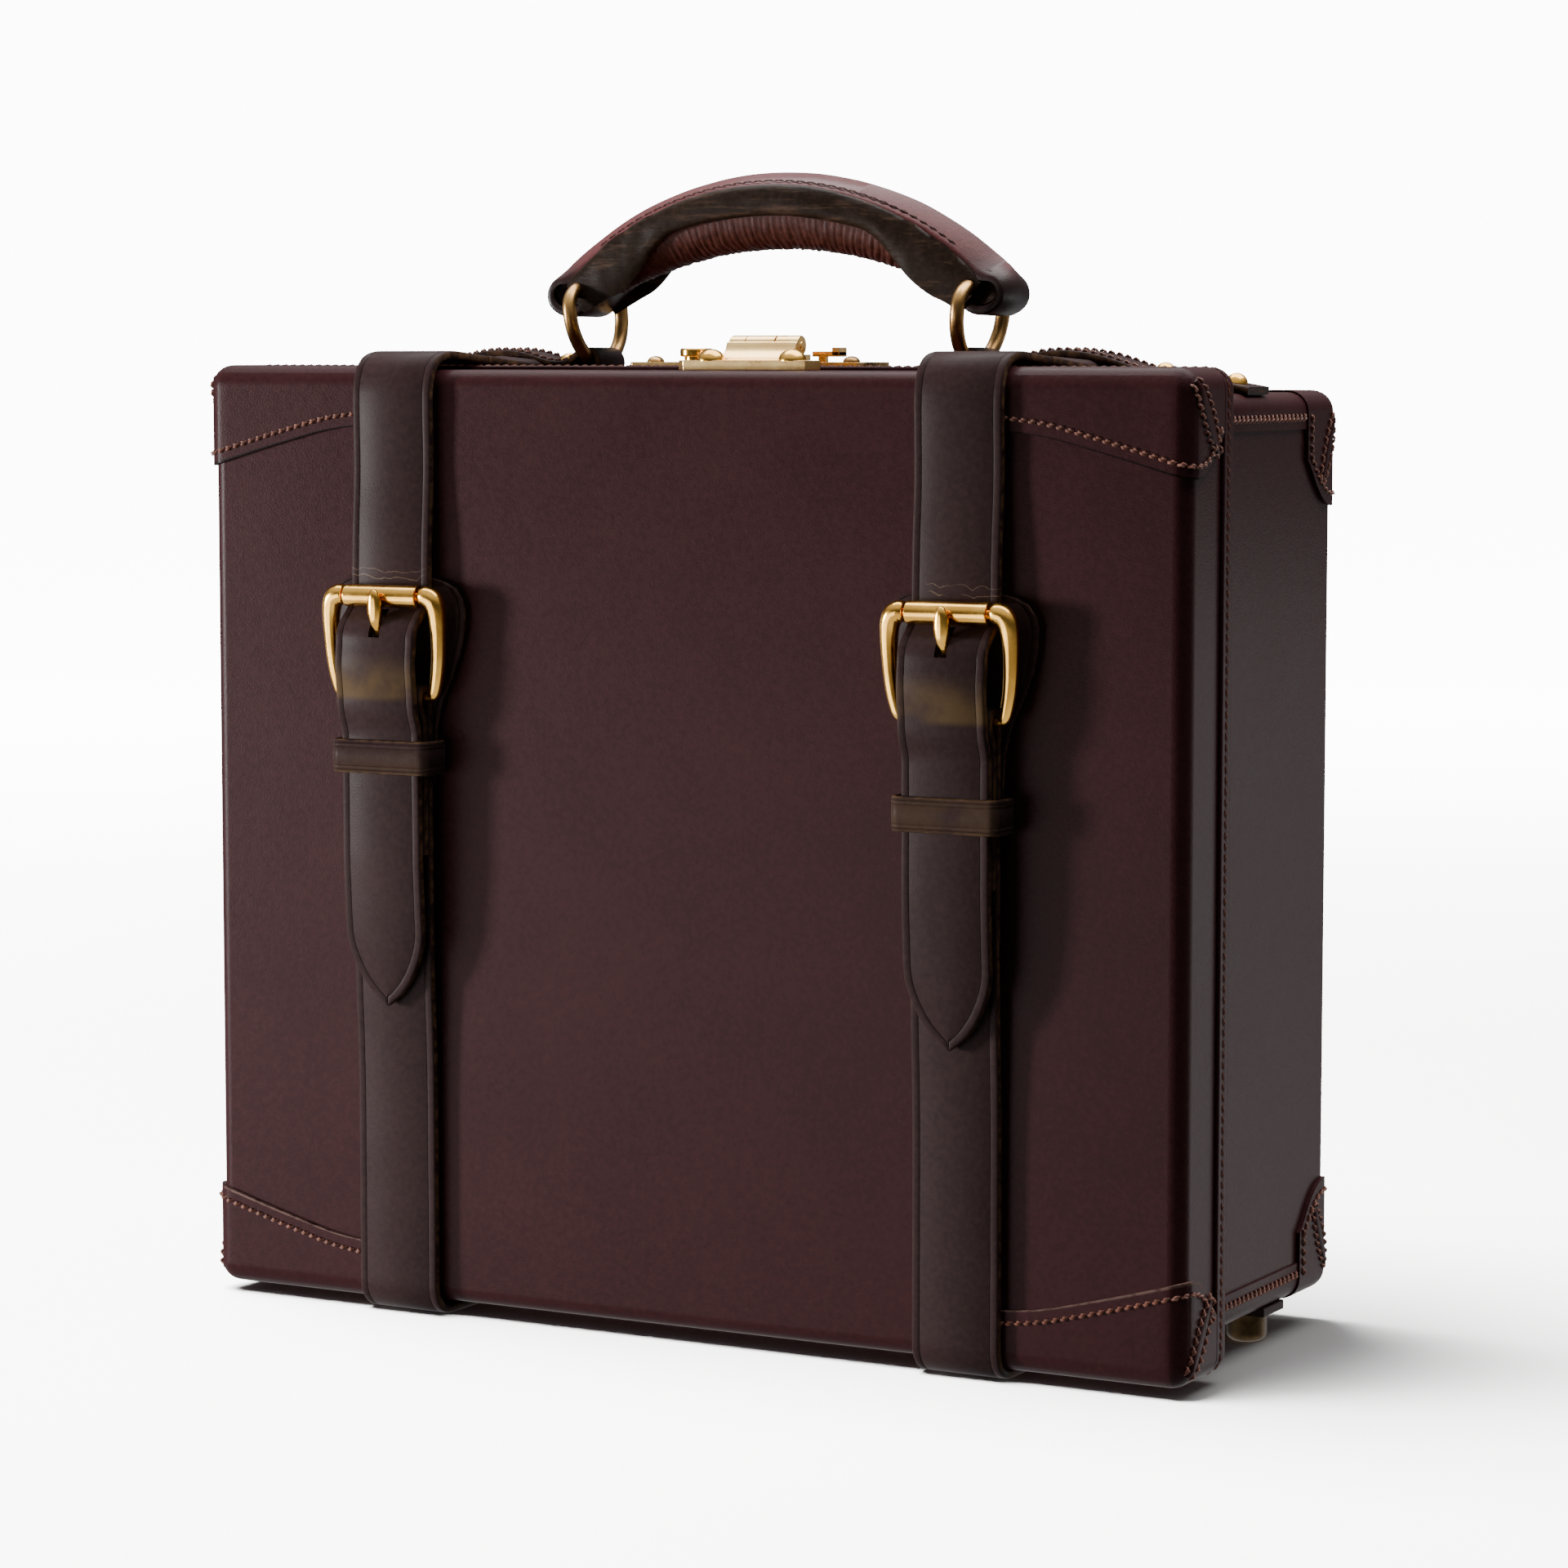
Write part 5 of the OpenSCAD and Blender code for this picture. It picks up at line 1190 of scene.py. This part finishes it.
# HANDLE STRIPS
# Two leather strips on the top of the body: each is doubled round a handle ring, rises over the strap
# that passes under it and runs down to the side, held by brass dome rivets on a leather packing.
STRIP_HALF, STRIP_SEAM, STRIP_RISE = 9.0, 7.3, 1.4
CHAPE_FOLD = ([(91.2, 326.7), (84, 326.7), (78.2, 326.6)] + arc(75.2, 330.8, 4.15, -90, -270, 18)[1:]
              + [(76.5, 334.9)])
OVER = spread([(78.2, 334.6), (80.2, 333.6), (82.0, 331.8), (83.8, 330.7), (86.0, 330.25), (89.0, 330.2),
               (92, 330.5), (95, 331.15), (98, 332.05), (101, 332.85), (104, 333.45), (107, 333.85), (110, 334.05),
               (113, 334.05), (116, 333.85), (119, 333.5), (122, 333.05), (126, 332.25), (130, 331.2), (135, 329.6),
               (140, 328.1), (145, 327.0), (151, 326.6), (156, 326.0), (163, 324.8), (170, 323.55), (175.6, 322.6),
               (180.4, 321.8)], 3)
SEWN = [row for row in OVER if 83 < row[0] < 150]
WEDGES = (("inner", 84.6, 93.2, 328.8), ("outer", 126.8, 134.6, 328.2))


def dressed(node, name, paint, body, ease):
    """A worked copy of one of the part's solids: its facets merged and its sharp edges eased."""
    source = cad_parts[node]
    piece = source.copy()
    piece.data = source.data.copy()
    piece.parent = None
    for key in list(piece.keys()):
        del piece[key]
    bpy.context.scene.collection.objects.link(piece)
    only(piece)
    edit_all()
    bpy.ops.mesh.remove_doubles(threshold=5e-6)
    bpy.ops.mesh.dissolve_limited(angle_limit=math.radians(1.0))
    bpy.ops.object.mode_set(mode="OBJECT")
    if ease:
        ease_edges(piece, ease, 40)
    finish(piece, name, paint, body, [node])


for side, hand in SIDES:
    strip_place = lambda across, x, z: at(side * x, HANDLE_Y + across, z)
    strap = strip(CHAPE_FOLD + OVER, lambda due, x, z: (STRIP_HALF, 1.0),
                  strip_section(2.7, ((2.2, 0.22, 0.4),), 0.12), strip_place, 1.1, 1, 0.12)
    finish(strap, "ring_strip_" + hand, strap_leather, "case", ["handle_strip_" + hand], 50)
    seams = []
    for across in (-STRIP_SEAM, STRIP_SEAM):
        line = []
        for a, b in zip(SEWN, SEWN[1:]):
            tilt = math.atan2(b[1] - a[1], b[0] - a[0])
            lean, rise = math.sin(tilt), math.cos(tilt)
            line.append((strip_place(across, a[0] - STRIP_RISE * lean, a[1] + STRIP_RISE * rise),
                         Vector((-side * lean, 0, rise))))
        seams.append(line)
    sew("strip_stitches_" + hand, seams, "case", 3.2, 12, 4.0)
    dressed("strip_packing_" + hand, "packing_" + hand, strap_leather, "case", 0.5)
    for name, near, far, high in WEDGES:
        ends = sorted((side * near, side * far))
        wedge = box(at(ends[0], 70.6, 325.0), at(ends[1], 87.4, high))
        ease_edges(wedge, 0.6)
        finish(wedge, "packing_%s_%s" % (name, hand), strap_leather, "case", [])
    dressed("bottom_strip_" + hand, "under_strip_" + hand, strap_leather, "case", 0.4)
# Painted shade: the feet's brass is coloured near black as the shadow they stand in under the case.
foot_brass_painted_shade = brass("foot_brass_painted_shade", (0.030, 0.019, 0.009, 1), (0.085, 0.052, 0.022, 1), 0.5, 0.1)
dressed("strip_domes", "dome_rivets", golden_brass, "case", 0)
dressed("feet", "brass_feet", foot_brass_painted_shade, "case", 0.5)


# HINGES
# Two brass butt hinges under the case, their leaves let in behind the binding.
dressed("lid_hinge_leaves", "lid_leaves", satin_brass, "lid", 0.25)
dressed("body_hinge_leaves", "body_leaves", satin_brass, "case", 0.25)
dressed("hinge_pins", "pins", satin_brass, "case", 0.15)


# LOCK
# A satin brass hasp lock on top: a chamfered plate with two domes on the lid, a hasp on three knuckles,
# and a wide thin plate on the body with the slide's thumb piece and a swivel cover over the keyhole.
LOCK_TOP, HASP_TOP, SLIDE_LOW, SLIDE_HIGH = 331.2, 331.9, 43.8, 49.8
BARREL_Y, BARREL_Z, BARREL_R = 34.3, 336.9, 3.4
PLATE = [(-2.9, 12.5), (44.4, 12.5), (48.2, 16.3), (46.4, 18.4), (37, 19.6), (36, 24.7), (5, 24.7), (4, 19.6),
         (-4.9, 18.4), (-6.7, 16.3)]
WEB = [(20.5, 331.5), (23.5, 331.95), (25.8, 332.8), (27.6, 334.0), (28.9, 335.5), (29.6, 336.9), (29.9, 337.8),
       (30.4, 338.2), (31.0, 338.0), (30.6, 336.9), (30.85, 335.4), (31.8, 334.0), (33.2, 333.1), (33.2, 330.4),
       (20.5, 330.4)]
WEB_ROWS = ((4.5, 0.25), (4.8, 0.0), (18, 0.0), (31.2, 0.0), (31.5, 0.25))
KNUCKLE_END = ((0, 2.9), (0.15, 3.25), (0.45, BARREL_R))
THUMB = ((30.2, 40.6, SLIDE_LOW, SLIDE_HIGH, 333.0, 334.9), (37.8, 40.6, SLIDE_LOW, SLIDE_HIGH, 333.3, 336.2),
         (31.5, 34.5, 45.7, 47.9, 326, 333.3))
KEY_X, KEY_Y = -14.2, 41.9


def slab(outline, low, high, ease=0.3):
    """A plate cut to an outline of (x, y) points between two heights, its edges eased."""
    clear()
    bpy.ops.mesh.primitive_circle_add(vertices=len(outline), radius=1, fill_type="NGON")
    piece = bpy.context.object
    for point, (x, y) in zip(piece.data.vertices, outline):
        point.co = at(x, y, low)
    edit_all()
    bpy.ops.mesh.extrude_region_move(TRANSFORM_OT_translate={"value": (0, 0, (high - low) / 1000)})
    edit_all()
    bpy.ops.mesh.normals_make_consistent(inside=False)
    bpy.ops.object.mode_set(mode="OBJECT")
    ease_edges(piece, ease)
    return piece


def dome(x, y, low, radius, high):
    """A round head on a thin collar."""
    clear()
    bpy.ops.mesh.primitive_uv_sphere_add(segments=32, ring_count=20, radius=1, location=at(x, y, low))
    piece = bpy.context.object
    piece.scale = (radius / 1000, radius / 1000, high / 1000)
    bpy.ops.object.transform_apply(location=True, rotation=True, scale=True)
    edit_all()
    bpy.ops.mesh.bisect(plane_co=at(x, y, low - 0.25), plane_no=(0, 0, 1), use_fill=True, clear_inner=True)
    bpy.ops.object.mode_set(mode="OBJECT")
    return piece


def disc(x, y, low, high, radius, ease):
    """A round plate between two heights, its edges eased."""
    clear()
    bpy.ops.mesh.primitive_cylinder_add(vertices=48, radius=radius / 1000, depth=(high - low) / 1000,
                                        location=at(x, y, (low + high) / 2))
    piece = bpy.context.object
    bpy.ops.object.transform_apply(location=True, rotation=True, scale=True)
    ease_edges(piece, ease, 40, 3)
    return piece


def web_point(i, j):
    """The web that rises from the plate to its knuckles, a little smaller at its ends."""
    y, z = WEB[i % len(WEB)]
    x, ease = WEB_ROWS[j]
    return at(x, y + (27.5 - y) * ease * 0.1, z + (333.0 - z) * ease * 0.2)


def knuckle(first, last):
    """One barrel of the hinge, with rounded ends."""
    rows = [(first + d, r) for d, r in KNUCKLE_END] + [(last - d, r) for d, r in reversed(KNUCKLE_END)]
    return tube([(x, BARREL_Y, BARREL_Z, r, r) for x, r in rows], 40)


plate = joined(slab(PLATE, 328.55, HASP_TOP), swept(len(WEB), len(WEB_ROWS) - 1, web_point),
               knuckle(4.5, 10.8), knuckle(22.5, 31.5))
finish(plate, "lid_plate", satin_brass, "lid", ["hasp_plate"], 35)
heads = joined(*[dome(x, 16.6, HASP_TOP, 4.75, 3.8) for x in (6.0, 37.3)])
finish(heads, "lid_plate_domes", golden_brass, "lid", ["hasp_domes"], 40)
dressed("hasp", "hasp_leaf", satin_brass, "hasp", 0.3)
dressed("hasp_pin", "hasp_pivot", satin_brass, "lid", 0.15)
dressed("lock_packing", "lock_bed", strap_leather, "case", 0.3)
dressed("lock_plate", "lock_face", satin_brass, "case", 0.25)
rivets = joined(*[dome(x, 41.9, LOCK_TOP, 3.0, 2.1) for x in (-30.5, 46.5)])
finish(rivets, "lock_rivet_heads", aged_brass, "case", ["lock_rivets"], 40)
thumb = joined(*[slab([(x0, y0), (x1, y0), (x1, y1), (x0, y1)], z0, z1, 0.25) for x0, x1, y0, y1, z0, z1 in THUMB])
bolt = tube([(x, 46.8, 326.6, 1.45, 1.45) for x in (22.9, 26, 30, 34)], 20)
finish(joined(thumb, bolt), "slide_bolt", satin_brass, "lock_slide", ["lock_slide"], 40)
cap = joined(disc(KEY_X, KEY_Y, 333.0, 335.9, 5.7, 0.6), disc(KEY_X, KEY_Y, 331.5, 333.2, 4.2, 0.3))
finish(cap, "keyhole_cover", golden_brass, "key_cover", ["key_cover"], 40)
dressed("key_cover_pin", "keyhole_cover_pivot", satin_brass, "case", 0.1)
